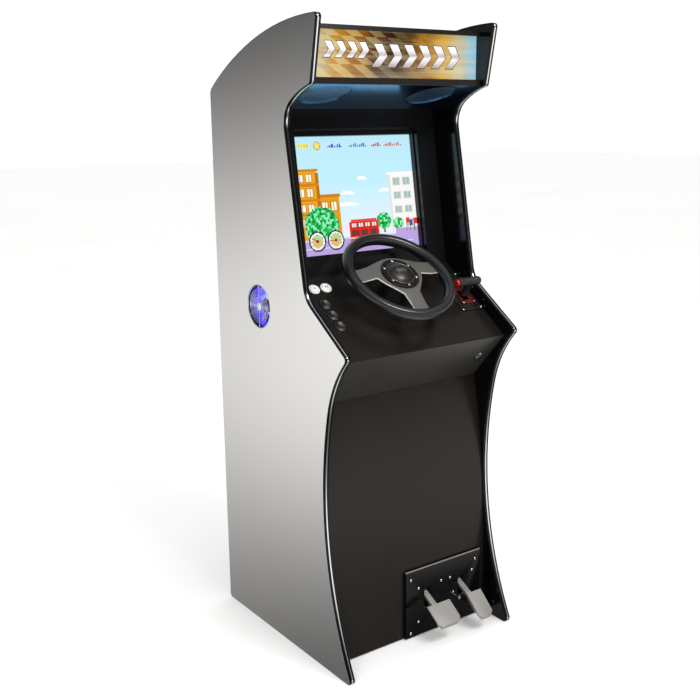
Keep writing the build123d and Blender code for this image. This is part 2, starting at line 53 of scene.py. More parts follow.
scene = bpy.context.scene


# ---- Places read from the frame ----
def middle(node):
    """The middle of a CAD node's box."""
    low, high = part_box(node)
    return (low + high) / 2


def half_size(node):
    """Half the size of a CAD node's box along each axis."""
    low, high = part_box(node)
    return (high - low) / 2


def span(node, direction):
    """The least and greatest distance of a CAD node's points along a direction."""
    along = [vertex.co.dot(direction) for vertex in nodes[node].data.vertices]
    return min(along), max(along)


def foot(node, direction, board):
    """The point where the middle line of a node meets the face of the board it stands on."""
    centre = middle(node)
    return centre + direction * (span(board, direction)[1] - centre.dot(direction))


def seat(origin, normal, across=(1, 0, 0)):
    """The matrix that takes local Z to a normal, and local X as nearly as it can to across."""
    up = Vector(normal).normalized()
    if abs(up.dot(Vector(across))) > 0.99:
        across = (0, 1, 0)
    side = Vector(across) - up * Vector(across).dot(up)
    side.normalize()
    turn = Matrix((side, up.cross(side), up)).transposed()
    return Matrix.Translation(origin) @ turn.to_4x4()


def facing(node):
    """The direction of the largest flat face of a node that looks upward at all."""
    areas = {}
    for polygon in nodes[node].data.polygons:
        if polygon.normal.z > 0.1:
            key = tuple(round(value, 3) for value in polygon.normal)
            area, normal = areas.get(key, (0, polygon.normal.copy()))
            areas[key] = (area + polygon.area, normal)
    return max(areas.values(), key=lambda found: found[0])[1]


def flat_loops(node, direction):
    """The edge loops, longest first, of a node's largest flat face that looks along a direction."""
    direction = Vector(direction).normalized()
    aligned = 0.9995
    mesh = nodes[node].data
    planes = {}
    for polygon in mesh.polygons:
        if polygon.normal.dot(direction) > aligned:
            planes.setdefault(round(polygon.center.dot(direction), 4), []).append(polygon)
    largest = max(planes.values(), key=lambda found: sum(polygon.area for polygon in found))
    places = {}
    edges = set()
    for polygon in largest:
        corners = []
        for index in polygon.vertices:
            point = mesh.vertices[index].co
            key = tuple(round(value, 6) for value in point)
            places[key] = point.copy()
            corners.append(key)
        edges.update(zip(corners, corners[1:] + corners[:1]))
    after = {start: end for start, end in edges if (end, start) not in edges}
    loops = []
    while after:
        start, point = after.popitem()
        loop = [start]
        while point != start:
            loop.append(point)
            point = after.pop(point)
        loops.append([places[key] for key in loop])
    return sorted(loops, key=len_of_loop, reverse=True)


def len_of_loop(loop):
    """The length round a closed loop of points."""
    return sum((a - b).length for a, b in zip(loop, loop[1:] + loop[:1]))


def islands(node):
    """The middle of each separate solid in a CAD node."""
    work = bmesh.new()
    work.from_mesh(nodes[node].data)
    bmesh.ops.remove_doubles(work, verts=work.verts, dist=1e-6)
    left = set(work.verts)
    found = []
    while left:
        group = {left.pop()}
        edge = set(group)
        while edge:
            edge = {line.other_vert(point) for point in edge for line in point.link_edges} - group
            group |= edge
        left -= group
        points = [point.co.copy() for point in group]
        found.append(Vector([(min(axis) + max(axis)) / 2 for axis in zip(*points)]))
    work.free()
    return sorted(found, key=tuple)


# ---- Shapes ----
def oval(count, wide, tall=None, x=0.0, y=0.0):
    """Points round an ellipse of two radii, or round a circle."""
    tall = wide if tall is None else tall
    turns = [2 * pi * number / count for number in range(count)]
    return [(x + wide * cos(turn), y + tall * sin(turn)) for turn in turns]


def soften(points, radius):
    """A profile with each inner corner rounded."""
    steps = 3
    made = [points[0]]
    for before, corner, behind in zip(points, points[1:], points[2:]):
        corner = Vector(corner)
        ends = []
        for other in (before, behind):
            away = Vector(other) - corner
            ends.append(corner + away.normalized() * min(radius, away.length / 2))
        for step in range(steps + 1):
            share = step / steps
            near = ends[0].lerp(corner, share)
            far = corner.lerp(ends[1], share)
            made.append(tuple(near.lerp(far, share)))
    return [*made, points[-1]]


class Shape:
    """Points and faces gathered from several forms, which become one mesh."""

    def __init__(self):
        self.points = []
        self.faces = []
        self.finishes = []

    def add(self, points, faces, place, finishes):
        """Adds a form; finishes has a material index for each face."""
        first = len(self.points)
        self.points += [place @ Vector(point) for point in points]
        self.faces += [[first + index for index in face] for face in faces]
        self.finishes += finishes

    def loft(self, rings, place=Matrix(), around=False, along=False, caps=False, finish=0):
        """A surface through rings of points. finish is one index, or one for each strip."""
        count = len(rings[0])
        strips = range(count if around else count - 1)
        finish = finish if isinstance(finish, list) else [finish] * len(strips)
        faces = []
        finishes = []
        for row in range(len(rings) if along else len(rings) - 1):
            near = row * count
            far = (row + 1) % len(rings) * count
            for strip in strips:
                other = (strip + 1) % count
                faces.append([near + strip, near + other, far + other, far + strip])
                finishes.append(finish[strip])
        if caps:
            last = (len(rings) - 1) * count
            faces += [list(range(count))[::-1], [last + index for index in range(count)]]
            finishes += [finish[0]] * 2
        self.add([point for ring in rings for point in ring], faces, place, finishes)

    def lathe(self, profile, place=Matrix(), steps=64, closed=False, finish=0):
        """A turned form from a profile of radius and height."""
        rings = [
            [(r * cos(turn), r * sin(turn), h) for r, h in profile]
            for turn in (2 * pi * step / steps for step in range(steps))
        ]
        self.loft(rings, place, around=closed, along=True, finish=finish)

    def curve(self, splines, closed, place, finish, **settings):
        """Adds the form that Blender makes from straight-run splines with these curve settings."""
        curve = bpy.data.curves.new("draft", "CURVE")
        for key, value in settings.items():
            setattr(curve, key, value)
        for points in splines:
            spline = curve.splines.new("POLY")
            spline.points.add(len(points) - 1)
            for made, point in zip(spline.points, points):
                made.co = (*point, 1)
            spline.use_cyclic_u = closed
        draft = bpy.data.objects.new("draft", curve)
        mesh = bpy.data.meshes.new_from_object(draft)
        faces = [list(polygon.vertices) for polygon in mesh.polygons]
        self.add([vertex.co for vertex in mesh.vertices], faces, place, [finish] * len(faces))
        bpy.data.objects.remove(draft)
        bpy.data.curves.remove(curve)
        bpy.data.meshes.remove(mesh)

    def plate(self, loops, thickness, bevel, place=Matrix(), finish=0):
        """A flat plate under its outline, with rounded edges. Holes are further loops."""
        splines = [[(point[0], point[1], 0) for point in loop] for loop in loops]
        settings = {"dimensions": "2D", "fill_mode": "BOTH", "bevel_resolution": 2}
        settings.update(extrude=thickness / 2 - bevel, bevel_depth=bevel, offset=-bevel)
        down = place @ Matrix.Translation((0, 0, -thickness / 2))
        self.curve(splines, True, down, finish, **settings)

    def wire(self, line, radius, place=Matrix()):
        """A round wire along a line of points."""
        settings = {"dimensions": "3D", "bevel_depth": radius, "bevel_resolution": 3}
        self.curve([line], False, place, 0, use_fill_caps=True, **settings)

    def mesh(self, name):
        """The gathered forms as a mesh without doubled points."""
        made = bpy.data.meshes.new(name)
        made.from_pydata(self.points, [], self.faces)
        made.polygons.foreach_set("material_index", self.finishes)
        work = bmesh.new()
        work.from_mesh(made)
        bmesh.ops.remove_doubles(work, verts=work.verts, dist=1e-6)
        bmesh.ops.dissolve_degenerate(work, edges=work.edges, dist=1e-7)
        bmesh.ops.recalc_face_normals(work, faces=work.faces)
        work.to_mesh(made)
        work.free()
        return made


def piece(name, form, body, finishes, stands_for=(), smooth=32):
    """A finished piece, from a shape or a mesh, that rides on a CAD body and may stand for CAD nodes."""
    mesh = form.mesh(name) if isinstance(form, Shape) else form
    for finish in finishes:
        mesh.materials.append(finish.made)
    if smooth:
        mesh.shade_smooth()
        mesh.set_sharp_from_angle(angle=radians(smooth))
    made = bpy.data.objects.new(name, mesh)
    scene.collection.objects.link(made)
    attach(made, body)
    if stands_for:
        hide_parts(*stands_for)


def traced(node, direction, thickness, bevel):
    """A bevelled plate over the outline of a CAD node's flat face, as a shape."""
    loops = flat_loops(node, direction)
    place = seat(loops[0][0], direction)
    back = place.inverted()
    shape = Shape()
    shape.plate([[back @ point for point in loop] for loop in loops], thickness, bevel, place)
    return shape


def bevelled(name, node, radius):
    """A finer form of a CAD node, whose sharp edges are rounded in a second material."""
    work = bmesh.new()
    work.from_mesh(nodes[node].data)
    bmesh.ops.remove_doubles(work, verts=work.verts, dist=1e-6)
    bmesh.ops.dissolve_limit(work, angle_limit=radians(1), verts=work.verts, edges=work.edges)
    sharp = [line for line in work.edges if line.is_manifold and line.calc_face_angle() > radians(40)]
    bmesh.ops.bevel(work, geom=sharp, offset=radius, segments=3, profile=0.5, affect="EDGES",
                    material=1, clamp_overlap=True)
    made = bpy.data.meshes.new(name)
    work.to_mesh(made)
    work.free()
    made.materials.clear()
    return made


# ---- Materials ----
def tint(code):
    """A linear colour from a six-figure code. A colour that is linear already stays as it is."""
    if isinstance(code, tuple):
        return code
    values = [int(code[start : start + 2], 16) / 255 for start in (0, 2, 4)]
    return tuple(v / 12.92 if v <= 0.04045 else ((v + 0.055) / 1.055) ** 2.4 for v in values)


class Nodes:
    """Short calls that add nodes to a tree."""

    def __init__(self, holder):
        holder.use_nodes = True
        self.tree = holder.node_tree

    def node(self, kind, inputs=None, **settings):
        """Adds a node. Each input is a value, or another node's output to link."""
        made = self.tree.nodes.new("ShaderNode" + kind)
        for key, value in settings.items():
            setattr(made, key, value)
        for key, value in (inputs or {}).items():
            if isinstance(value, bpy.types.NodeSocket):
                self.tree.links.new(value, made.inputs[key])
            else:
                made.inputs[key].default_value = value
        return made

    def maths(self, operation, a, b=0.0, c=0.0):
        """The result of a Math node."""
        return self.node("Math", {0: a, 1: b, 2: c}, operation=operation).outputs[0]


class Finish(Nodes):
    """A node material on one Principled shader, with its plain numbers set on the sockets."""

    def __init__(self, name, **sockets):
        self.made = bpy.data.materials.new(name)
        super().__init__(self.made)
        self.shader = self.tree.nodes["Principled BSDF"]
        self.place = self.node("TexCoord").outputs["Object"]
        for key, value in sockets.items():
            self.shader.inputs[key.replace("_", " ")].default_value = value

    def drive(self, socket, output):
        """Links an output to a socket of the shader."""
        self.tree.links.new(output, self.shader.inputs[socket])

    def noise(self, scale, detail=3, stretch=None):
        """Soft noise, with features about 1 / scale metres across."""
        place = self.place
        if stretch:
            place = self.node("Mapping", {"Vector": place, "Scale": stretch}).outputs["Vector"]
        inputs = {"Vector": place, "Scale": scale, "Detail": detail}
        return self.node("TexNoise", inputs).outputs["Fac"]

    def cells(self, scale, feature="F1"):
        """Distances to scattered points, for pores, grain and flakes."""
        inputs = {"Vector": self.place, "Scale": scale}
        return self.node("TexVoronoi", inputs, feature=feature).outputs["Distance"]

    def between(self, value, low, high, start=0.3, end=0.7):
        """A value carried from one range to another."""
        inputs = {"Value": value, "From Min": start, "From Max": end, "To Min": low, "To Max": high}
        return self.node("MapRange", inputs).outputs["Result"]

    def ramp(self, value, *stops, smooth="LINEAR"):
        """A colour for each value, through stops of place and colour in order of place."""
        made = self.node("ValToRGB", {"Fac": value})
        made.color_ramp.interpolation = smooth
        elements = made.color_ramp.elements
        elements[1].position = stops[-1][0]
        elements[0].position = stops[0][0]
        for place, _ in stops[1:-1]:
            elements.new(place)
        for element, (_, colour) in zip(elements, stops):
            element.color = (*tint(colour), 1)
        return made.outputs["Color"]

    def mix(self, share, a, b, blend="MIX"):
        """Two colours mixed by a share."""
        made = self.node("Mix", {0: share}, data_type="RGBA", blend_type=blend)
        for socket, colour in ((made.inputs[6], a), (made.inputs[7], b)):
            if isinstance(colour, bpy.types.NodeSocket):
                self.tree.links.new(colour, socket)
            else:
                socket.default_value = (*tint(colour), 1)
        return made.outputs[2]

    def relief(self, height, depth, edges=0.0):
        """A bumped surface, over edges that are rounded by a radius."""
        inputs = {"Height": height, "Distance": depth, "Strength": 1.0}
        if edges:
            inputs["Normal"] = self.node("Bevel", {"Radius": edges}, samples=4).outputs["Normal"]
        self.drive("Normal", self.node("Bump", inputs).outputs["Normal"])


def solid(name, colour, rough, metal=0.0, spread=0.12, grain=900, depth=0.00004, patch=6,
          stretch=None, edges=0.0, pores=0, **sockets):
    """A material whose colour, roughness and fine relief vary a little over the surface."""
    made = Finish(name, Metallic=metal, **sockets)
    colour = tint(colour)
    fine = made.noise(grain, 4, stretch)
    broad = made.noise(patch, 3)
    pale = tuple(min(1, v * (1 + spread)) for v in colour)
    dark = tuple(v * (1 - spread) for v in colour)
    both = made.maths("ADD", made.maths("MULTIPLY", fine, 0.5), made.maths("MULTIPLY", broad, 0.5))
    made.drive("Base Color", made.ramp(both, (0.35, dark), (0.65, pale)))
    made.drive("Roughness", made.between(both, rough * 0.85, min(1, rough * 1.15)))
    made.relief(made.cells(pores, "SMOOTH_F1") if pores else fine, depth, edges)
    return made


def brushed(name, colour, rough, direction, **options):
    """Metal with fine scratches along one axis."""
    stretch = [1.0, 1.0, 1.0]
    stretch[direction] = 0.02
    return solid(name, colour, rough, 1.0, 0.1, 2600, 0.00003, stretch=tuple(stretch), **options)


def grained(name, colour, rough, scale, depth, **options):
    """Rubber or plastic with a moulded leather grain."""
    return solid(name, colour, rough, spread=0.1, depth=depth, pores=scale, **options)


def faced(name, colour, rough, grain=500, depth=0.00001, edges=0.001, **options):
    """A faced board with softened edges."""
    return solid(name, colour, rough, grain=grain, depth=depth, edges=edges, **options)


def glossy(name, colour, rough, grain=300, **options):
    """A smooth moulded or printed surface."""
    return solid(name, colour, rough, grain=grain, depth=0.000004, **options)


# ---- The materials of the cabinet ----
# Reflections tinted blue, with a strong sheen: a painted reflection of the lit screen, for the speaker panel
# and the speaker covers.
painted_blue_reflection = {"IOR": 8.0, "Specular_Tint": (*tint("a5d2fa"), 1)}
laminate = solid("silver_laminate", "e9e7e4", 0.2, 1.0, 0.015, 1500, 0.000004, patch=1.2, edges=0.0012,
                 pores=2600)
inner_gloss = faced("black_gloss_laminate", "040405", 0.12)
board = faced("black_satin_board", "181410", 0.27, 700, 0.00002, patch=4, Specular_IOR_Level=0.27)
# A lighter copy of the black satin board for the apron: painted light for the light it catches facing forward
# and down.
apron_painted_lighter = faced("satin_board_painted_lighter", "2b2925", 0.3, 700, 0.00002, patch=4)
sheen_board = faced("black_sheen_board", "101112", 0.2)
hood_board = faced("gloss_board_painted_blue_reflection", "050608", 0.16, **painted_blue_reflection)
rear_board = faced("rear_black_board", "26262a", 0.5, 420, 0.00012, spread=0.2)
raw_board = faced("bare_fibreboard", "8d6b49", 0.8, 260, 0.0001, 0.0008, spread=0.25)
edging = solid("black_edging", "050506", 0.24, grain=800, depth=0.00001, Specular_IOR_Level=0.25)
stripe = brushed("edging_stripe", "f2f3f4", 0.12, 0)
chrome = solid("chrome", "dfe1e3", 0.08, 1.0, 0.03, 300, 0.000004)
zinc = solid("zinc_plate", "9b9c9d", 0.32, 1.0, 0.12, 220, 0.00001, patch=40, edges=0.0004)
dark_steel = solid("black_enamel", "17171a", 0.3, 0.3, grain=500, depth=0.00003, edges=0.0006)
plastic = grained("moulded_black", "111113", 0.42, 900, 0.00004)
gloss_black = glossy("gloss_black", "070707", 0.27, IOR=2.3)
gloss_white = glossy("gloss_white", "e8e8e4", 0.18, spread=0.03, Coat_Weight=0.5)
gloss_red = glossy("gloss_red", "b3100c", 0.14, spread=0.06, Coat_Weight=0.6)
umber = glossy("umber_border", "3a2212", 0.3, 600)
mark_ink = glossy("button_mark", "1b1c20", 0.3, 600)
wheel_rubber = grained("wheel_rubber", "111010", 0.3, 620, 0.00006, IOR=1.8)
grip_rubber = grained("grip_rubber", "1e1e1e", 0.5, 700, 0.0001)
boot_rubber = grained("boot_rubber", "0d0d0e", 0.5, 420, 0.00012)
spoke_metal = solid("spoke_anodised", "67655f", 0.42, 0.45, 0.06, 1500, 0.00002)
# Near-white side faces for the spokes: a painted highlight along their edges.
spoke_painted_highlight = solid("spoke_painted_highlight", "f0eee8", 0.36, 0.0, 0.04, 1500, 0.00001)
cap_metal = solid("cap_graphite", "46423e", 0.36, 0.85, 0.35, 1400, 0.00006)
hub_metal = solid("hub_graphite", "2b2927", 0.36, 0.8, 0.3, 1400, 0.00006)
etched = solid("etched_metal", "aaa69f", 0.36, 0.9, grain=900)
pedal_metal = brushed("pedal_aluminium", "bbb7b2", 0.56, 0)
pedal_black = solid("pedal_black", "050505", 0.14, grain=400, depth=0.00001, Specular_IOR_Level=0.22)
# Pale grey for the foot plate's sloping bevels: a painted highlight along its edges.
pedal_painted_highlight = solid("pedal_plate_painted_highlight", "6f6a64", 0.4, 0.0, 0.1, 500, 0.00001)
gate_red = solid("gate_red", "5a140d", 0.34, 0.2, spread=0.15, grain=600)
shift_plate = solid("shifter_plate", "1a1a1a", 0.34, 0.3, grain=600, depth=0.00003)
nylon = solid("nylon", "dcd8cc", 0.45, spread=0.04, grain=400, edges=0.0003, Subsurface_Weight=0.1)
case_grey = solid("case_grey", "55565a", 0.42, 0.4, grain=800, depth=0.00008, edges=0.0008)


def cloth_cover():
    """A black speaker cover with fine round perforations, painted darker in the holes as painted shade, and
    with reflections tinted blue as a painted reflection of the lit screen.
    """
    made = Finish("speaker_cloth", **painted_blue_reflection)
    holes = made.cells(620)
    # The perforations are painted darker: painted shade inside the holes.
    made.drive("Base Color", made.ramp(holes, (0.25, "020203"), (0.45, "17191c")))
    made.drive("Roughness", made.between(holes, 0.7, 0.24, 0.25, 0.45))
    made.relief(made.between(holes, 0, 1, 0.2, 0.45), 0.0002)
    return made


def fan_light(name, strength):
    """A glow, blue near the fan's axis and violet away from it: the clear blades are lit from inside, and on
    the frame the glow is painted light from the blades.
    """
    made = Finish(name, Roughness=0.2, Emission_Strength=strength, Coat_Weight=0.4)
    axis = Vector(joints["fan_spin"]["pos_m"])
    flat = made.node("VectorMath", {0: made.place, 1: (0, 1, 1)}, operation="MULTIPLY").outputs[0]
    away = made.node("VectorMath", {0: flat, 1: (0, axis.y, axis.z)}, operation="DISTANCE")
    reach = away.outputs["Value"]
    cloudy = made.maths("ADD", reach, made.maths("MULTIPLY", made.noise(90), 0.012))
    stops = [(0.015, "1c1cc4"), (0.03, "9aa6ff"), (0.042, "3326d8"), (0.055, "6b58ff")]
    glow = made.ramp(made.maths("MULTIPLY", cloudy, 10), *[(place * 10, code) for place, code in stops])
    made.drive("Emission Color", glow)
    made.drive("Base Color", glow)
    return made


def marquee_shares(made):
    """How far across the marquee a point is, and how far up, from 0 to 1."""
    low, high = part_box("marquee_panel")
    x, _, z = made.node("SeparateXYZ", {0: made.place}).outputs
    across = made.maths("DIVIDE", made.maths("SUBTRACT", x, low.x), high.x - low.x)
    up = made.maths("DIVIDE", made.maths("SUBTRACT", z, low.z), high.z - low.z)
    return across, up


def printed_acrylic():
    """A lit print: slanted gold chequers that fade away, with pale blue at both ends, and painted highlight
    streaks across it.
    """
    made = Finish("marquee_print", Roughness=0.16, Emission_Strength=0.7, Coat_Weight=0.4)
    u, v = marquee_shares(made)
    cloud = made.noise(26, 3, (0.5, 1, 1.6))
    highlight_streaks = made.noise(60, 4, (0.04, 1, 1))
    drift = made.maths("ADD", u, made.maths("MULTIPLY_ADD", cloud, 0.12, -0.06))
    stops = [(0.0, "7fb0c4"), (0.06, "cdbf9c"), (0.15, "c9962f"), (0.27, "a8701a"), (0.37, "5e3813"),
             (0.47, "38200f"), (0.56, "6f5119"), (0.68, "b38026"), (0.79, "dcb050"), (0.88, "cfc79c"),
             (1.0, "9fd2ea")]
    base = made.ramp(drift, *stops, smooth="EASE")
    lean = made.maths("MULTIPLY_ADD", v, 0.35, u)
    squares = made.node("CombineXYZ", {0: made.maths("MULTIPLY", lean, 15),
                                       1: made.maths("MULTIPLY", v, 3.6), 2: 0.5}).outputs[0]
    chequer = made.node("TexChecker", {"Vector": squares, "Scale": 1.0}).outputs["Fac"]
    fade = made.between(drift, 0.7, 0.0, 0.08, 0.56)
    light = made.mix(made.maths("MULTIPLY", chequer, fade), base, "ecd592")
    shade = made.between(made.maths("ABSOLUTE", made.maths("SUBTRACT", u, 0.5)), 0.55, 0.0, 0.02, 0.3)
    plain = made.maths("SUBTRACT", 1.0, chequer)
    warm = made.mix(made.maths("MULTIPLY", shade, plain), light, "3a1d0c")
    # Pale horizontal streaks screened over the print: painted highlights on the acrylic.
    print_and_highlights = made.mix(made.between(highlight_streaks, 0.0, 0.3, 0.5, 0.72), warm, "ffe9b8", "SCREEN")
    made.drive("Emission Color", print_and_highlights)
    made.drive("Base Color", made.mix(0.85, print_and_highlights, "000000"))
    return made


def lit_picture():
    """A lit picture from the mesh's own colours, with the fine columns of a flat display."""
    made = Finish("lit_picture", Roughness=0.12, Emission_Strength=0.98, Coat_Weight=0.3)
    colours = made.node("VertexColor", layer_name="Picture").outputs["Color"]
    x = made.node("SeparateXYZ", {0: made.place}).outputs[0]
    columns = made.maths("PINGPONG", made.maths("MULTIPLY", x, 1800), 1.0)
    dim = made.between(columns, 0.9, 1.0, 0.0, 0.6)
    grey = made.node("CombineColor", {0: dim, 1: dim, 2: dim}).outputs[0]
    made.drive("Emission Color", made.mix(1.0, colours, grey, "MULTIPLY"))
    made.drive("Base Color", made.mix(0.9, colours, "000000"))
    return made


def backlit_silver():
    """Silver paint on the lit print, paler towards the top of each shape."""
    made = Finish("marquee_silver", Metallic=0.5, Roughness=0.3, Emission_Strength=0.5)
    mottled = made.maths("MULTIPLY_ADD", made.noise(150), 0.1, marquee_shares(made)[1])
    silver = made.ramp(mottled, (0.3, "8d857f"), (0.48, "cfcbcc"), (0.54, "a39c9e"), (0.72, "f1f1f4"))
    made.drive("Base Color", silver)
    made.drive("Emission Color", silver)
    return made


marquee_print = printed_acrylic()
marquee_silver = backlit_silver()
picture_light = lit_picture()
lit_blade = fan_light("lit_blade", 1.5)
# The frame is no lamp: its faint violet glow is painted light from the lit blades.
frame_painted_glow = fan_light("frame_painted_glow", 0.2)
speaker_cloth = cloth_cover()


def dress(node, *coats):
    """Gives a CAD node its materials, and returns its faces."""
    mesh = nodes[node].data
    mesh.materials.clear()
    for coat in coats:
        mesh.materials.append(coat.made)
    return mesh.polygons


finishes = {
    inner_gloss: ["monitor_screen"],
    board: ["control_panel", "lower_front_panel", "marquee_retainers", "roof_panel"],
    apron_painted_lighter: ["apron_panel"],
    hood_board: ["speaker_panel"],
    sheen_board: ["bezel_panel", "monitor_housing"],
    rear_board: ["rear_panel_top", "rear_panel_bottom", "rear_door"],
    raw_board: ["base_board", "monitor_batten", "marquee_light"],
    speaker_cloth: ["speaker_grilles"],
    dark_steel: ["speakers", "steering_column", "shifter_bracket"],
    zinc: ["steering_shaft", "shifter_lever", "pedal_brackets", "door_hinge_fixed", "door_fittings"],
    chrome: ["panel_screws", "door_lock_cam"],
    nylon: ["steering_gear", "potentiometer_gear"],
    plastic: ["power_inlet"],
    frame_painted_glow: ["fan_frame"],
    gloss_red: ["power_switch"],
    case_grey: ["game_computer"],
}
for finish, names in finishes.items():
    for name in names:
        dress(name, finish)

# The side panels are silver outside, and black on their edges and inside.
for name, outside in (("side_panel_left", -1), ("side_panel_right", 1)):
    for polygon in dress(name, laminate, inner_gloss):
        polygon.material_index = int(polygon.normal.x * outside < 0.9)

# ---- Edge moulding round both side panels ----
moulding_rise = 0.002
floor_gap = 0.0001
moulding_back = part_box("edge_trims")[1].y


def moulding_path(node, outside):
    """The side panel's outline from the back's foot over the toe and the crown to the back's top."""
    outline = flat_loops(node, (outside, 0, 0))[0]
    flat = [(point.y, point.z) for point in outline]
    behind = [index for index, point in enumerate(flat) if point[0] > moulding_back]
    first = next(i for i in behind if flat[(i + 1) % len(flat)][0] <= moulding_back)
    run = []
    for step in range(len(flat)):
        here = flat[(first + step) % len(flat)]
        after = flat[(first + step + 1) % len(flat)]
        if here[0] <= moulding_back:
            run.append(here)
        if (here[0] > moulding_back) != (after[0] > moulding_back):
            share = (moulding_back - here[0]) / (after[0] - here[0])
            run.append((moulding_back, here[1] + share * (after[1] - here[1])))
    return run


def edge_moulding(name, node, outside):
    """A rounded black moulding with a bright stripe along its middle, swept round the panel."""
    centre_x = middle(node).x
    half = half_size(node).x
    rounded = [(-1.0, 0.0), (-0.98, 0.4), (-0.9, 0.66), (-0.76, 0.8), (-0.5, 0.84), (-0.24, 0.8)]
    raised = [(-0.2, 0.92), (-0.1, 1.0), (0.0, 1.0)]
    left = rounded + raised
    section = left + [(-x, rise) for x, rise in left[-2::-1]]
    bright = range(len(rounded), len(section) - len(rounded) - 1)
    strips = [int(index in bright) for index in range(len(section))]
    path = [Vector(point) for point in moulding_path(node, outside)]
    turning = sum(a.x * b.y - b.x * a.y for a, b in zip(path, path[1:] + path[:1]))
    rings = []
    for before, here, behind in zip(path[:1] + path, path, path[1:] + path[-1:]):
        along = (behind - before).normalized()
        outward = Vector((along.y, -along.x)) * (1 if turning > 0 else -1)
        ring = []
        for share, rise in section:
            point = here + outward * rise * moulding_rise
            ring.append((centre_x + share * half, point.x, max(point.y, floor_gap)))
        rings.append(ring)
    shape = Shape()
    shape.loft(rings, around=True, caps=True, finish=strips)
    piece(name, shape, "cabinet", [edging, stripe], ["edge_trims"], smooth=50)


edge_moulding("edge_moulding_left", "side_panel_left", -1)
edge_moulding("edge_moulding_right", "side_panel_right", 1)

# ---- Steering wheel ----
steer_axis = Vector(joints["steering"]["axis"])
wheel_seat = seat(middle("steering_rim"), steer_axis)
rim_back, rim_front = span("steering_rim", steer_axis)
rim_depth = (rim_front - rim_back) / 2
rim_half = 0.014
rim_radius = half_size("steering_rim").x - rim_half


def wheel_rim():
    """A padded rim: deep flat flanks, and a narrow crown between two shallow grooves."""
    flank = 0.78
    crown = 0.86
    grooves = (radians(52), radians(128))
    groove_wide = 0.09
    groove_deep = 0.055
    profile = []
    for x, y in oval(44, 1.0):
        turn = atan2(y, x)
        wide = copysign(abs(x) ** flank, x)
        deep = copysign(abs(y) ** crown, y)
        reach = 1 - groove_deep * sum(exp(-(((turn - place) / groove_wide) ** 2)) for place in grooves)
        profile.append((rim_radius + rim_half * wide * reach, rim_depth * deep * reach))
    shape = Shape()
    shape.lathe(profile, wheel_seat, 144, closed=True)
    piece("wheel_rim", shape, "steering_wheel",
                 [wheel_rubber], ["steering_rim"], smooth=60)


wheel_rim()
spokes = bevelled("wheel_spokes", "steering_spokes", 0.0013)
# The bevels and side faces take the near-white finish as a painted highlight.
for polygon in spokes.polygons:
    if abs(polygon.normal.dot(steer_axis)) < 0.6:
        polygon.material_index = 1
piece("wheel_spokes", spokes, "steering_wheel", [spoke_metal, spoke_painted_highlight],
      ["steering_spokes"], smooth=25)

wheel_level = wheel_seat.translation.dot(steer_axis)
hub_low, hub_high = (level - wheel_level for level in span("steering_hub", steer_axis))
hub_radius = half_size("steering_hub").x
cap_radius = half_size("steering_cap").x
hub = Shape()
groove = cap_radius + 0.0028
hub_profile = [(cap_radius + 0.0006, hub_low), (hub_radius, hub_low), (hub_radius, hub_high - 0.0015),
               (hub_radius - 0.0015, hub_high), (groove + 0.0011, hub_high),
               (groove + 0.0008, hub_high - 0.0006), (groove + 0.0002, hub_high - 0.0006),
               (groove, hub_high), (cap_radius + 0.0014, hub_high),
               (cap_radius + 0.0006, hub_high - 0.001), (cap_radius + 0.0006, hub_low)]
hub.lathe(soften(hub_profile, 0.0006), wheel_seat, 96)
ring_wire = oval(10, 0.0006, x=groove, y=hub_high + 0.0004)
hub.lathe(ring_wire, wheel_seat, 96, closed=True, finish=1)
piece("wheel_hub", hub, "steering_wheel", [hub_metal, etched], ["steering_hub"])

dome = 0.063
dome_low = hub_high - 0.051


def dome_height(radius):
    """The height of the cap's dome at a distance from its middle."""
    return dome_low + (dome * dome - radius * radius) ** 0.5


def wheel_cap():
    """A domed cap with a fine turned ring and a plain chequered band."""
    shape = Shape()
    edge = cap_radius - 0.0004
    profile = [(0, hub_low), (edge, hub_low), (edge, dome_height(edge) - 0.0008)]
    reaches = [edge - 0.0006, edge - 0.003, edge - 0.0034, edge - 0.0042, edge - 0.0046]
    lifts = [0, 0, -0.0004, -0.0004, 0]
    profile += [(reach, dome_height(reach) + lift) for reach, lift in zip(reaches, lifts)]
    steps = 12
    inner = [reaches[-1] * (1 - step / steps) for step in range(1, steps + 1)]
    profile += [(reach, dome_height(reach)) for reach in inner]
    shape.lathe(profile, wheel_seat, 96)
    tile = 0.0037
    slant = 0.3
    mark_radius = 0.019
    for row in range(-1, 3):
        for column in range(-5, 5):
            corners = [(column, row), (column + 1, row), (column + 1, row + 1), (column, row + 1)]
            flat = [((x + slant * y) * tile, (y - 0.5) * tile) for x, y in corners]
            if (row + column) % 2 or max(x * x + y * y for x, y in flat) > mark_radius**2:
                continue
            rings = []
            for lift in (-0.0003, 0.00012):
                heights = [dome_height((x * x + y * y) ** 0.5) + lift for x, y in flat]
                rings.append([(x, y, height) for (x, y), height in zip(flat, heights)])
            shape.loft(rings, wheel_seat, around=True, caps=True, finish=1)
    piece("wheel_cap", shape, "steering_wheel",
                 [cap_metal, etched], ["steering_cap"])


wheel_cap()


def socket_head(shape, place, radius, tall):
    """A rounded screw head with a hexagonal socket, standing on the place's local XY plane."""
    side_steps = 6
    steps = 6 * side_steps
    levels = ((1.0, 0.0), (1.0, 0.35), (0.93, 0.72), (0.78, 0.93), (0.64, 1.0))
    rings = [[(x, y, tall * height) for x, y in oval(steps, radius * reach)] for reach, height in levels]
    hexagon = [Vector(corner) for corner in oval(6, 0.5 * radius)]
    socket = []
    for corner, after in zip(hexagon, hexagon[1:] + hexagon[:1]):
        socket += [corner.lerp(after, step / side_steps) for step in range(side_steps)]
    rings += [[(x, y, tall * height) for x, y in socket] for height in (1.0, 0.3)]
    shape.loft(rings, place, around=True, caps=True)


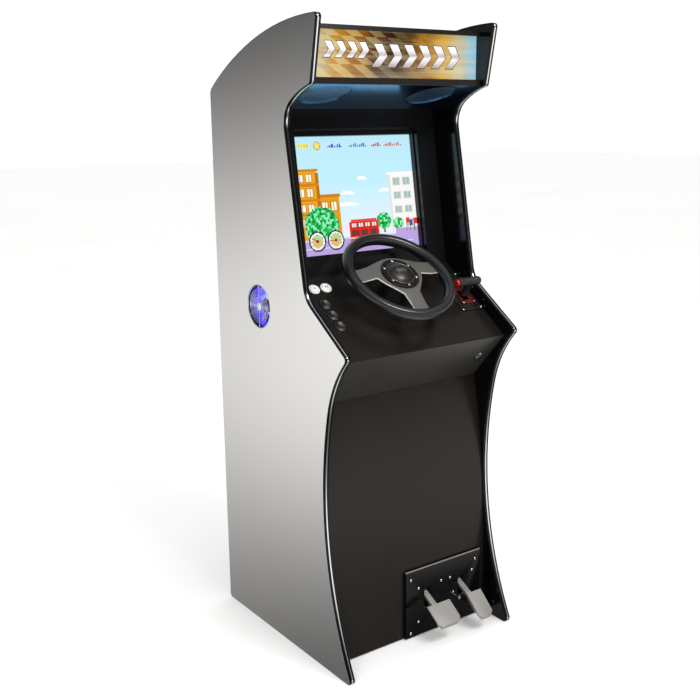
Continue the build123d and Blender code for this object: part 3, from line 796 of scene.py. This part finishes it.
bolts = Shape()
for centre in islands("steering_bolts"):
    local = wheel_seat.inverted() @ centre
    place = wheel_seat @ Matrix.Translation((local.x, local.y, hub_high))
    socket_head(bolts, place, 0.0046, 0.0030)
piece("wheel_bolts", bolts, "steering_wheel", [chrome],
      ["steering_bolts"], smooth=40)

# ---- Push buttons ----
plunger = 0.012


def button_body(shape, place, bezel_finish):
    """The bezel above the board, and the threaded barrel, nut and switch below it."""
    bezel = [(plunger + 0.0002, -0.004), (plunger + 0.0002, 0.0026), (plunger + 0.0014, 0.0038),
             (0.0146, 0.0036), (0.0160, 0.0021), (0.0165, 0.0)]
    crest = 0.0135
    root = 0.0129
    pitch = 0.0026
    thread = []
    for turn in range(11):
        height = -0.002 - pitch * turn
        thread += [(crest, height), (root, height - pitch / 2)]
    barrel = [(crest, 0.0), *thread, (crest, -0.032), (0, -0.032)]
    shape.lathe(soften([(plunger - 0.001, -0.010)] + bezel, 0.0007), place, 48, finish=bezel_finish)
    shape.lathe(bezel[-1:] + barrel, place, 48)
    nut = [(0.0136, -0.0152), (0.018, -0.0152), (0.018, -0.023), (0.0136, -0.023)]
    shape.lathe(soften(nut, 0.001), place, 24)
    switch = [(-0.013, -0.007), (0.013, -0.007), (0.013, 0.007), (-0.013, 0.007)]
    shape.plate([switch], 0.012, 0.0008, place @ Matrix.Translation((0, 0, -0.032)))


def button_cap(shape, place, dished):
    """The part that is pressed: dished in the middle, or slightly domed."""
    side = [(0, -0.020), (0.0119, -0.020), (0.0119, 0.003), (0.0117, 0.0036)]
    dish = [(0.0109, 0.0044), (0.0096, 0.0042), (0.0072, 0.0031), (0.0036, 0.0025), (0, 0.0023)]
    crown = [(0.0107, 0.0045), (0.0088, 0.0049), (0.0045, 0.0050), (0, 0.0050)]
    shape.lathe(side + (dish if dished else crown), place, 48)


def dot_mark(shape, place, count):
    """A generic mark: one dot or two, for the first player or the second."""
    for number in range(count):
        along = (number - (count - 1) / 2) * 0.0062
        dot = [(0, 0.00505), (0.0020, 0.00505), (0.0022, 0.0050), (0.0022, 0.0046)]
        shape.lathe(dot, place @ Matrix.Translation((along, 0, 0)), 24, finish=1)


panel_axis = -Vector(joints["start_button_1_press"]["axis"])
apron_axis = -Vector(joints["credit_button_press"]["axis"])
bodies = Shape()
for name in ("start_button_1", "start_button_2", "action_button_1", "action_button_2",
             "action_button_3", "credit_button_1"):
    credit = name.startswith("credit")
    axis = apron_axis if credit else panel_axis
    place = seat(foot(name, axis, "apron_panel" if credit else "control_panel"), axis)
    start = name.startswith("start")
    button_body(bodies, place, int(start))
    cap = Shape()
    button_cap(cap, place, name.startswith("action"))
    if start:
        dot_mark(cap, place, int(name[-1]))
    colours = [gloss_white, mark_ink] if start else [gloss_black]
    piece(name + "_cap", cap, "credit_button" if credit else name,
          colours, [name])
piece("button_bodies", bodies, "cabinet",
      [gloss_black, gloss_white], ["button_housings"])

# ---- Shifter ----
plate = traced("shifter_plate", panel_axis, 0.003, 0.0007)
piece("shifter_plate_top", plate, "cabinet", [shift_plate],
      ["shifter_plate"])
gate = traced("shifter_gate", panel_axis, 0.0024, 0.0006)
piece("shifter_gate_top", gate, "cabinet", [gate_red],
      ["shifter_gate"])
button_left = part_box("shifter_button")[0].x
grip_low, grip_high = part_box("shifter_grip")
bar_seat = seat((0, *middle("shifter_button").yz), (1, 0, 0), panel_axis)
grip_radius = 0.012


def shifter_grip():
    """A rubber cross bar with a rounded end and a collar, on a ribbed boot."""
    shape = Shape()
    start = grip_low.x
    end = grip_high.x
    collar = 0.012
    bar = [(0.0101, start + 0.006), (0.0101, start), (grip_radius + 0.0013, start),
           (grip_radius + 0.0013, start + collar), (grip_radius, start + collar + 0.001)]
    ribs = []
    for rib in range(9):
        place = start + collar + 0.006 + 0.0046 * rib
        ribs += [(grip_radius, place), (grip_radius - 0.0005, place + 0.0008), (grip_radius, place + 0.0016)]
    ball = [(grip_radius * cos(radians(a)), end - grip_radius + grip_radius * sin(radians(a)))
            for a in range(0, 91, 9)]
    shape.lathe(soften(bar, 0.0008) + ribs + ball, bar_seat, 48)
    boot_seat = seat(foot("shifter_lever", panel_axis, "control_panel"), panel_axis)
    boot = [(0.0129, 0.0112), (0.0130, 0.0125)]
    folds = 5
    for fold in range(folds):
        share = fold / folds
        rise = 0.036 * share
        boot += [(0.0128 - 0.0034 * share, 0.0135 + rise), (0.0108 - 0.003 * share, 0.0172 + rise)]
    boot += [(0.0092, 0.0505)]
    shape.lathe(boot, boot_seat, 48, finish=1)
    piece("shifter_bar", shape, "shifter",
                 [grip_rubber, boot_rubber], ["shifter_grip"], smooth=45)


shifter_grip()
thumb = Shape()
thumb_profile = [(0, 0.0008), (0.004, 0.0004), (0.007, 0.0001), (0.0088, 0.0012), (0.0097, 0.0034),
                 (0.0099, 0.013), (0, 0.013)]
thumb.lathe([(reach, button_left + height) for reach, height in thumb_profile], bar_seat, 48)
piece("shifter_thumb_button", thumb, "shifter_button", [gloss_red],
      ["shifter_button"])

# ---- Pedals ----
def pedal_pad(name, body):
    """A folded tread: the lower edge turns down, and its two corners are cut off."""
    up = facing(name)
    outline = flat_loops(name, up)[0]
    low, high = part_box(name)
    front = min(outline, key=lambda point: point.y)
    back = max(outline, key=lambda point: point.y)
    place = seat((low.x, front.y, front.z), up)
    wide = high.x - low.x
    long = (Vector((0, back.y, back.z)) - Vector((0, front.y, front.z))).length
    cut = 0.013
    thick = 0.005
    bend = 0.0018
    fold = 0.010
    worn = 0.0006
    lip_thick = 0.004
    rings = []
    stations = [(0.0, 1.0), (0.0007, 0.93), (cut, 0.0)]
    stations += [(wide - x, share) for x, share in stations[::-1]]
    for x, share in stations:
        start = cut * share
        lip = fold * (1 - share)
        trim = worn if x in (0.0, wide) else 0.0
        ring = [(x, long - trim, -trim)]
        for step in range(7):
            turn = pi / 2 * step / 6
            ring.append((x, start + bend * (1 - sin(turn)) + trim, -bend * (1 - cos(turn)) - trim))
        ring += [(x, start + trim, -thick - lip), (x, start + lip_thick, -thick - lip),
                 (x, start + lip_thick + 0.0005, -thick + trim), (x, long - trim, -thick + trim)]
        rings.append(ring)
    shape = Shape()
    shape.loft(rings, place, around=True, caps=True)
    piece(name + "_tread", shape, body, [pedal_metal], [name], smooth=28)


foot_plate = bevelled("foot_plate", "pedal_plate", 0.0012)
# The sloping bevel faces take the pale grey finish as a painted highlight.
for polygon in foot_plate.polygons:
    if 0.3 < polygon.normal.z < 0.95:
        polygon.material_index = 1
piece("foot_plate", foot_plate, "cabinet", [pedal_black, pedal_painted_highlight], ["pedal_plate"],
      smooth=10)
springs = Shape()
spring_start = 0.0138
spring_long = 0.0096
spring_radius = 0.0065
turn_steps = 24
steps = 5 * turn_steps
for name in ("brake", "gas"):
    pedal = name + "_pedal"
    pedal_pad(name + "_pad", pedal)
    arm = traced(name + "_arm", (1, 0, 0), 2 * half_size(name + "_arm").x, 0.0005)
    piece(name + "_lever", arm, pedal, [pedal_metal], [name + "_arm"], smooth=12)
    axle = Vector(joints[name]["pos_m"])
    helix = []
    for step in range(steps + 1):
        turn = 2 * pi * step / turn_steps
        along = spring_start + spring_long * step / steps
        helix.append(axle + Vector((along, spring_radius * cos(turn), spring_radius * sin(turn))))
    springs.wire(helix, 0.0009)
piece("return_springs", springs, "cabinet", [zinc], ["pedal_springs"], smooth=60)

# ---- Fan ----
fan_axis = Vector(joints["fan_spin"]["axis"])
guard_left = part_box("fan_guard")[0].x
fan_seat = seat((guard_left, *middle("fan_guard").yz), fan_axis, (0, 0, 1))
guard_outer = half_size("fan_guard").z
wire = half_size("fan_guard").x


def fan_guard():
    """Concentric wire rings on radial wires, with a disc in the middle."""
    shape = Shape()
    ring_half = 0.0013
    first_ring = 0.0118
    ring_step = 0.007
    rings = [first_ring + ring_step * count for count in range(7)]
    rings[-1] = guard_outer - ring_half
    for reach in rings:
        shape.lathe(oval(10, ring_half, 0.95 * wire, reach, wire), fan_seat, 72, closed=True)
    for number in range(6):
        turn = pi / 3 * number
        spoke = [(reach * cos(turn), reach * sin(turn), wire) for reach in (rings[0], rings[-1])]
        shape.wire(spoke, 0.7 * wire, fan_seat)
    disc = [(0, wire * 0.3), (rings[0], wire * 0.3), (rings[0], wire * 1.5), (rings[0] - 0.002, wire * 1.9),
            (0, wire * 1.9)]
    shape.lathe(soften(disc, 0.0004), fan_seat, 48)
    piece("fan_guard_wires", shape, "cabinet", [chrome],
                 ["fan_guard"], smooth=50)


def fan_rotor():
    """A hub with nine swept, twisted blades."""
    shape = Shape()
    low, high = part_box("fan_rotor")
    base = low.x - guard_left
    deep = high.x - low.x
    place = fan_seat @ Matrix.Translation((0, 0, base))
    hub = [(0.0024, deep), (0.0024, 0.0004), (0.018, 0.0004), (0.0198, 0.002), (0.0198, deep), (0.0024, deep)]
    shape.lathe(soften(hub, 0.001), place, 64, finish=1)
    blades = 9
    stations = 5
    chord_steps = 4
    root = 0.0190
    length = 0.0344
    clear = 0.0003
    for number in range(blades):
        rings = []
        for step in range(stations + 1):
            share = step / stations
            reach = root + length * share
            sweep = 2 * pi * number / blades + 0.28 * share * share
            chord = 0.0098 + 0.0042 * share
            pitch = radians(52 - 22 * share)
            ring = []
            for side in (1, -1):
                for k in range(chord_steps + 1):
                    along = side * (1 - 2 * k / chord_steps)
                    camber = 0.0016 * (1 - along * along)
                    lift = side * 0.0006 * (1.05 - along * along) + camber
                    tangent = along * chord * cos(pitch) - lift * sin(pitch)
                    height = deep / 2 + (along * chord * sin(pitch) + lift * cos(pitch)) * 0.82
                    turn = sweep + tangent / reach
                    height = min(max(height, clear), deep - clear)
                    ring.append((reach * cos(turn), reach * sin(turn), height))
            rings.append(ring)
        shape.loft(rings, place, around=True, caps=True)
    piece("fan_blades", shape, "fan_rotor", [lit_blade, plastic],
                 ["fan_rotor"], smooth=40)


fan_guard()
fan_rotor()

# ---- Marquee ----
art_seat = seat((0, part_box("marquee_panel")[0].y, middle("marquee_panel").z), (0, -1, 0))
half_wide, half_thick, half_tall = half_size("marquee_panel")
art = Shape()
edges = [(-half_wide, -half_tall), (half_wide, -half_tall), (half_wide, half_tall), (-half_wide, half_tall)]
art.plate([edges], 2 * half_thick, 0.0006, art_seat)
piece("marquee_print_panel", art, "cabinet", [marquee_print],
      ["marquee_panel"])


def chevrons():
    """Plain corner-marker arrows in two sizes, with dark borders, in place of a title."""
    shape = Shape()
    groups = ((4, -0.228, 0.008, 0.038, 0.035), (6, -0.078, -0.004, 0.056, 0.049))
    for count, start, level, tall, step in groups:
        for number in range(count):
            for grow, depth, finish in ((0.0018, 0.0005, 1), (0.0, 0.0009, 0)):
                left = start + number * step - grow
                right = left + 0.52 * step + 2 * grow
                point = 0.42 * step
                half = tall / 2 + grow
                arrow = [(left, -half), (right, -half), (right + point, 0), (right, half),
                         (left, half), (left + point, 0)]
                outline = [(x + 0.16 * y, y + level) for x, y in arrow]
                lifted = art_seat @ Matrix.Translation((0, 0, depth))
                shape.plate([outline], 0.0004, 0.00015, lifted, finish)
    piece("marquee_arrows", shape, "cabinet",
                 [marquee_silver, umber])


chevrons()

# ---- The picture on the display ----
class Painting:
    """A picture made of square cells, as an old arcade game shows it. Places are shares of its sides."""

    def __init__(self, wide, tall):
        self.wide = wide
        self.tall = tall
        self.cells = [[(0.0, 0.0, 0.0)] * wide for _ in range(tall)]
        self.chance = random.Random(5)
        self.clumps = {}

    def fill(self, test, left, low, right, high, colour):
        """Colours the cells of a box whose middles pass a test. colour is a code, or a function."""
        for row in range(max(0, round(low * self.tall)), min(self.tall, round(high * self.tall))):
            for column in range(max(0, round(left * self.wide)), min(self.wide, round(right * self.wide))):
                u = (column + 0.5) / self.wide
                v = (row + 0.5) / self.tall
                if test(u, v):
                    self.cells[row][column] = colour(u, v) if callable(colour) else tint(colour)

    def box(self, left, low, right, high, colour):
        """A filled rectangle."""
        self.fill(lambda u, v: True, left, low, right, high, colour)

    def disc(self, x, y, radius, colour):
        """A filled round."""
        shape = self.wide / self.tall

        def inside(u, v):
            return (u - x) ** 2 + ((v - y) / shape) ** 2 <= radius * radius

        self.fill(inside, x - radius, y - radius * shape, x + radius, y + radius * shape, colour)

    def windows(self, left, low, right, high, across, colour, frame_colour):
        """A row of framed windows."""
        y = low + (high - low) * 0.5
        rise = 0.27 * (high - low)
        half = 0.3 * (right - left) / across
        for column in range(across):
            x = left + (right - left) * (column + 0.5) / across
            self.box(x - half - 0.006, y - rise - 0.008, x + half + 0.006, y + rise + 0.008, frame_colour)
            self.box(x - half, y - rise, x + half, y + rise, colour)
            self.box(x - 0.002, y - rise, x + 0.004, y + rise, frame_colour)

    def tree(self, x, y, radius):
        """A leafy round on a short trunk."""
        greens = [tint(code) for code in ("12a046", "2cc468", "8cf0b0", "0f7c34")]
        self.box(x - 0.008, y - 1.8 * radius, x + 0.008, y, "8a5a2a")

        def leaf(u, v):
            clump = (int(u * self.wide / 3), int(v * self.tall / 3))
            return self.clumps.setdefault(clump, self.chance.choice(greens + greens[1:3]))

        for turn in range(7):
            angle = 2 * pi * turn / 7
            self.disc(x + 0.55 * radius * cos(angle), y + 0.6 * radius * sin(angle), 0.55 * radius, leaf)
        self.disc(x, y, 0.7 * radius, leaf)

    def mesh(self, name, place, wide, tall):
        """Runs of one colour in each row, as flat faces with that colour."""
        points = []
        faces = []
        colours = []
        for row, cells in enumerate(self.cells):
            start = 0
            while start < self.wide:
                end = start
                while end < self.wide and cells[end] == cells[start]:
                    end += 1
                first = len(points)
                for column, line in ((start, row), (end, row), (end, row + 1), (start, row + 1)):
                    points.append(place @ Vector(((column / self.wide - 0.5) * wide,
                                                  (line / self.tall - 0.5) * tall, 0)))
                faces.append(list(range(first, first + 4)))
                colours.append(cells[start])
                start = end
        made = bpy.data.meshes.new(name)
        made.from_pydata(points, [], faces)
        layer = made.color_attributes.new("Picture", "FLOAT_COLOR", "CORNER")
        layer.data.foreach_set("color", [v for colour in colours for _ in range(4) for v in (*colour, 1.0)])
        return made


def paint_street():
    """An invented street race: sky, blocks of flats, trees, a coach, the road and two round dials."""
    art = Painting(192, 150)
    top = Vector(tint("bde9f8"))
    haze = Vector(tint("e6effb"))
    steps = 24

    def sky(u, v):
        return tuple(haze.lerp(top, min(1, max(0, (round(v * steps) / steps - 0.12) / 0.5))))

    art.box(0, 0, 1, 1, sky)
    for x, y, wide in ((0.42, 0.50, 0.12), (0.74, 0.51, 0.1), (0.55, 0.62, 0.08), (0.4, 0.4, 0.2)):
        art.box(x - wide / 2, y, x + wide / 2, y + 0.018, "f4f8fd")
        art.box(x - wide / 3, y + 0.014, x + wide / 3, y + 0.032, "f4f8fd")
    art.box(0.17, 0.12, 0.345, 0.50, "e29a1c")
    art.box(0.165, 0.485, 0.355, 0.515, "c97f10")
    for low, high in ((0.34, 0.48), (0.2, 0.34)):
        art.windows(0.19, low, 0.33, high, 2, "fdf1dd", "b06f10")
    art.box(0, 0.12, 0.175, 0.73, "eda21c")
    art.box(0.165, 0.12, 0.195, 0.70, "b9700c")
    for y in (0.715, 0.59, 0.46, 0.34):
        art.box(0, y, 0.195, y + 0.02, "d08410")
    for low, high in ((0.60, 0.71), (0.475, 0.59), (0.35, 0.46), (0.22, 0.34)):
        art.windows(0.01, low, 0.15, high, 2, "fff6e6", "b9740e")
    art.box(0.775, 0.14, 1, 0.67, "f3f2f0")
    art.box(0.765, 0.655, 1, 0.675, "fafafa")
    art.box(0.775, 0.14, 0.79, 0.655, "dcdde0")
    for row in range(4):
        art.windows(0.8, 0.54 - 0.125 * row, 0.98, 0.64 - 0.125 * row, 2, "a9bdb8", "cfd6d3")
    art.box(0.36, 0.2, 0.78, 0.25, "e9e6f2")
    art.tree(0.185, 0.25, 0.128)
    art.tree(0.705, 0.25, 0.058)
    art.tree(0.83, 0.22, 0.042)
    art.box(0, 0, 1, 0.13, "b9a3dd")
    art.box(0, 0.118, 1, 0.135, "d9cdee")
    art.box(0.8, 0.1, 1, 0.17, "b9a3dd")
    for stripe in range(6):
        art.box(0.03 + 0.17 * stripe, 0.05, 0.1 + 0.17 * stripe, 0.06, "efe8fb")
    art.box(0.405, 0.09, 0.655, 0.26, "dd2a1c")
    art.box(0.42, 0.255, 0.64, 0.28, "e8463a")
    art.windows(0.415, 0.2, 0.645, 0.26, 4, "fbe9e6", "9a150c")
    art.windows(0.415, 0.135, 0.645, 0.19, 3, "3f4652", "9a150c")
    art.box(0.405, 0.115, 0.655, 0.125, "f6c9c0")
    for x in (0.455, 0.605):
        art.disc(x, 0.09, 0.022, "2b2b30")
        art.disc(x, 0.09, 0.01, "b9b9c0")
    for x, low, colour in ((0.9, 0.19, "d8382c"), (0.93, 0.17, "3a5fa8"), (0.97, 0.18, "d8382c")):
        art.box(x, 0.14, x + 0.008, low + 0.07, "7a6a5a")
        art.box(x, low + 0.02, x + 0.03, low + 0.07, colour)
    dial = 0.118
    for x in (0.135, 0.285):
        for y, radius, colour in ((dial, 0.068, "16161a"), (dial, 0.058, "f4f1fa"),
                                  (dial, 0.044, "a8d98a"), (0.105, 0.03, "f0b26a")):
            art.disc(x, y, radius, colour)
        for tick in range(9):
            angle = radians(210 - 30 * tick)
            art.disc(x + 0.046 * cos(angle), dial + 0.059 * sin(angle), 0.004, "3a3550")
        point = 2.0 + 4 * x
        for step in range(12):
            art.disc(x + 0.0034 * step * cos(point), dial + 0.0043 * step * sin(point), 0.004, "e0482c")
        art.disc(x, dial, 0.01, "3a3550")
    art.box(0.05, 0.905, 0.14, 0.945, "f4ec9a")
    for bar in range(4):
        art.box(0.056 + 0.021 * bar, 0.912, 0.07 + 0.021 * bar, 0.938, "e2cc3a")
    art.disc(0.205, 0.925, 0.028, "c9a92a")
    art.disc(0.205, 0.925, 0.021, "f3e27a")
    bars = ((0.29, 9, 0.0135, "5b46c8"), (0.47, 9, 0.0165, "5a78b8"), (0.655, 5, 0.0185, "d9453a"),
            (0.765, 9, 0.018, "cf6a62"))
    for start, count, step, colour in bars:
        for bar in range(count):
            tall = 0.018 + 0.006 * ((bar * 5) % 4)
            art.box(start + step * bar, 0.905, start + step * (bar + 0.66), 0.905 + tall, colour)
    return art


glass_out = facing("monitor_screen")
glass = flat_loops("monitor_screen", glass_out)[0]
glass_middle = sum(glass, Vector()) / len(glass)
rim_hidden = 0.010
picture_wide = max(point.x for point in glass) * 2 - rim_hidden
picture_tall = len_of_loop(glass) / 2 - picture_wide - 2 * rim_hidden
screen_seat = seat(glass_middle + glass_out * 0.0002, glass_out)
street = paint_street().mesh("street_picture", screen_seat, picture_wide, picture_tall)
piece("screen_picture", street, "cabinet", [picture_light], smooth=0)

# ---- Studio: floor, soft lights and the camera ----
floor_half = 30
floor_mesh = bpy.data.meshes.new("studio_floor")
corners = [(-1, -1, 0), (1, -1, 0), (1, 1, 0), (-1, 1, 0)]
floor_mesh.from_pydata([(x * floor_half, y * floor_half, z) for x, y, z in corners], [], [[0, 1, 2, 3]])
floor = bpy.data.objects.new("studio_floor", floor_mesh)
scene.collection.objects.link(floor)
floor_finish = solid("studio_floor", "f6f6f5", 0.85, spread=0.01, grain=3, depth=0.0001, patch=0.5,
                     Emission_Color=(1, 1, 1, 1), Emission_Strength=0.06)
floor_mesh.materials.append(floor_finish.made)
floor.visible_glossy = False


def area_light(name, place, aim, size, power, mirrored=False):
    """A soft rectangular lamp that points at a place."""
    lamp = bpy.data.lights.new(name, "AREA")
    lamp.shape = "RECTANGLE"
    lamp.size, lamp.size_y = size
    lamp.energy = power
    made = bpy.data.objects.new(name, lamp)
    made.location = place
    made.rotation_mode = "QUATERNION"
    made.rotation_quaternion = (Vector(aim) - Vector(place)).to_track_quat("-Z", "Y")
    made.visible_glossy = mirrored
    made.visible_camera = False
    scene.collection.objects.link(made)


area_light("key_light", (0.4, -2.6, 3.4), (0, 0, 0.9), (1.8, 0.8), 80, mirrored=True)
area_light("left_light", (-3.0, -2.4, 2.4), (0, 0, 0.8), (1.2, 2.2), 30)


def studio_sky():
    """A white surround, which shows in reflections as one smooth band of light between darker greys."""
    world = bpy.data.worlds.new("studio")
    sky = Nodes(world)
    maths = sky.maths
    split = sky.node("SeparateXYZ", {0: sky.node("TexCoord").outputs["Generated"]}).outputs
    _, depth, rise = split
    offset = maths("MULTIPLY_ADD", rise, 1 / band_width, -band_rise / band_width)
    bell = maths("EXPONENT", maths("MULTIPLY", maths("MULTIPLY", offset, offset), -1.0))
    behind = maths("MAXIMUM", maths("SUBTRACT", depth, fall_start), 0.0)
    fall = maths("MAXIMUM", maths("MULTIPLY_ADD", behind, -fall_slope, 1.0), fall_least)
    overhead = maths("SMOOTH_MAX", maths("SUBTRACT", rise, overhead_start), 0.0, overhead_soft)
    overhead = maths("MULTIPLY", overhead, overhead_light)
    underfoot = maths("SMOOTH_MAX", maths("SUBTRACT", -underfoot_start, rise), 0.0, underfoot_soft)
    underfoot = maths("MULTIPLY", underfoot, underfoot_light)
    band = maths("MULTIPLY", bell, maths("MULTIPLY", fall, band_light))
    band = maths("ADD", maths("SMOOTH_MIN", band, band_most, band_soft), overhead)
    band = maths("ADD", band, maths("MINIMUM", underfoot, underfoot_most))
    mirrored = sky.node("LightPath").outputs["Is Glossy Ray"]
    level = maths("MULTIPLY_ADD", mirrored, maths("SUBTRACT", band, room_light), room_light)
    sky.tree.links.new(level, sky.tree.nodes["Background"].inputs["Color"])
    scene.world = world


room_light = 1.05
band_rise = -0.197
band_width = 0.194
band_light = 1.57
band_most = 1.08
band_soft = 0.3
fall_start = 0.747
fall_slope = 4.2
fall_least = 0.5
overhead_start = 0.3
overhead_light = 0.7
overhead_soft = 0.1
underfoot_start = 0.55
underfoot_light = 3.0
underfoot_soft = 0.05
underfoot_most = 0.9
studio_sky()
scene.view_settings.view_transform = "Standard"

camera = bpy.data.objects.new("camera", bpy.data.cameras.new("camera"))
eye = Vector((-1.6479, -2.22305, 1.4587))
yaw, pitch, roll = (radians(angle) for angle in (35.6375, -13.1875, -0.6166))
ahead = Vector((sin(yaw) * cos(pitch), cos(yaw) * cos(pitch), sin(pitch)))
level = ahead.cross(Vector((0, 0, 1))).normalized()
above = level.cross(ahead)
camera_x = level * cos(roll) + above * sin(roll)
camera_y = above * cos(roll) - level * sin(roll)
camera.matrix_world = Matrix.Translation(eye) @ Matrix((camera_x, camera_y, -ahead)).transposed().to_4x4()
camera.data.lens = 50.96
scene.collection.objects.link(camera)
scene.camera = camera
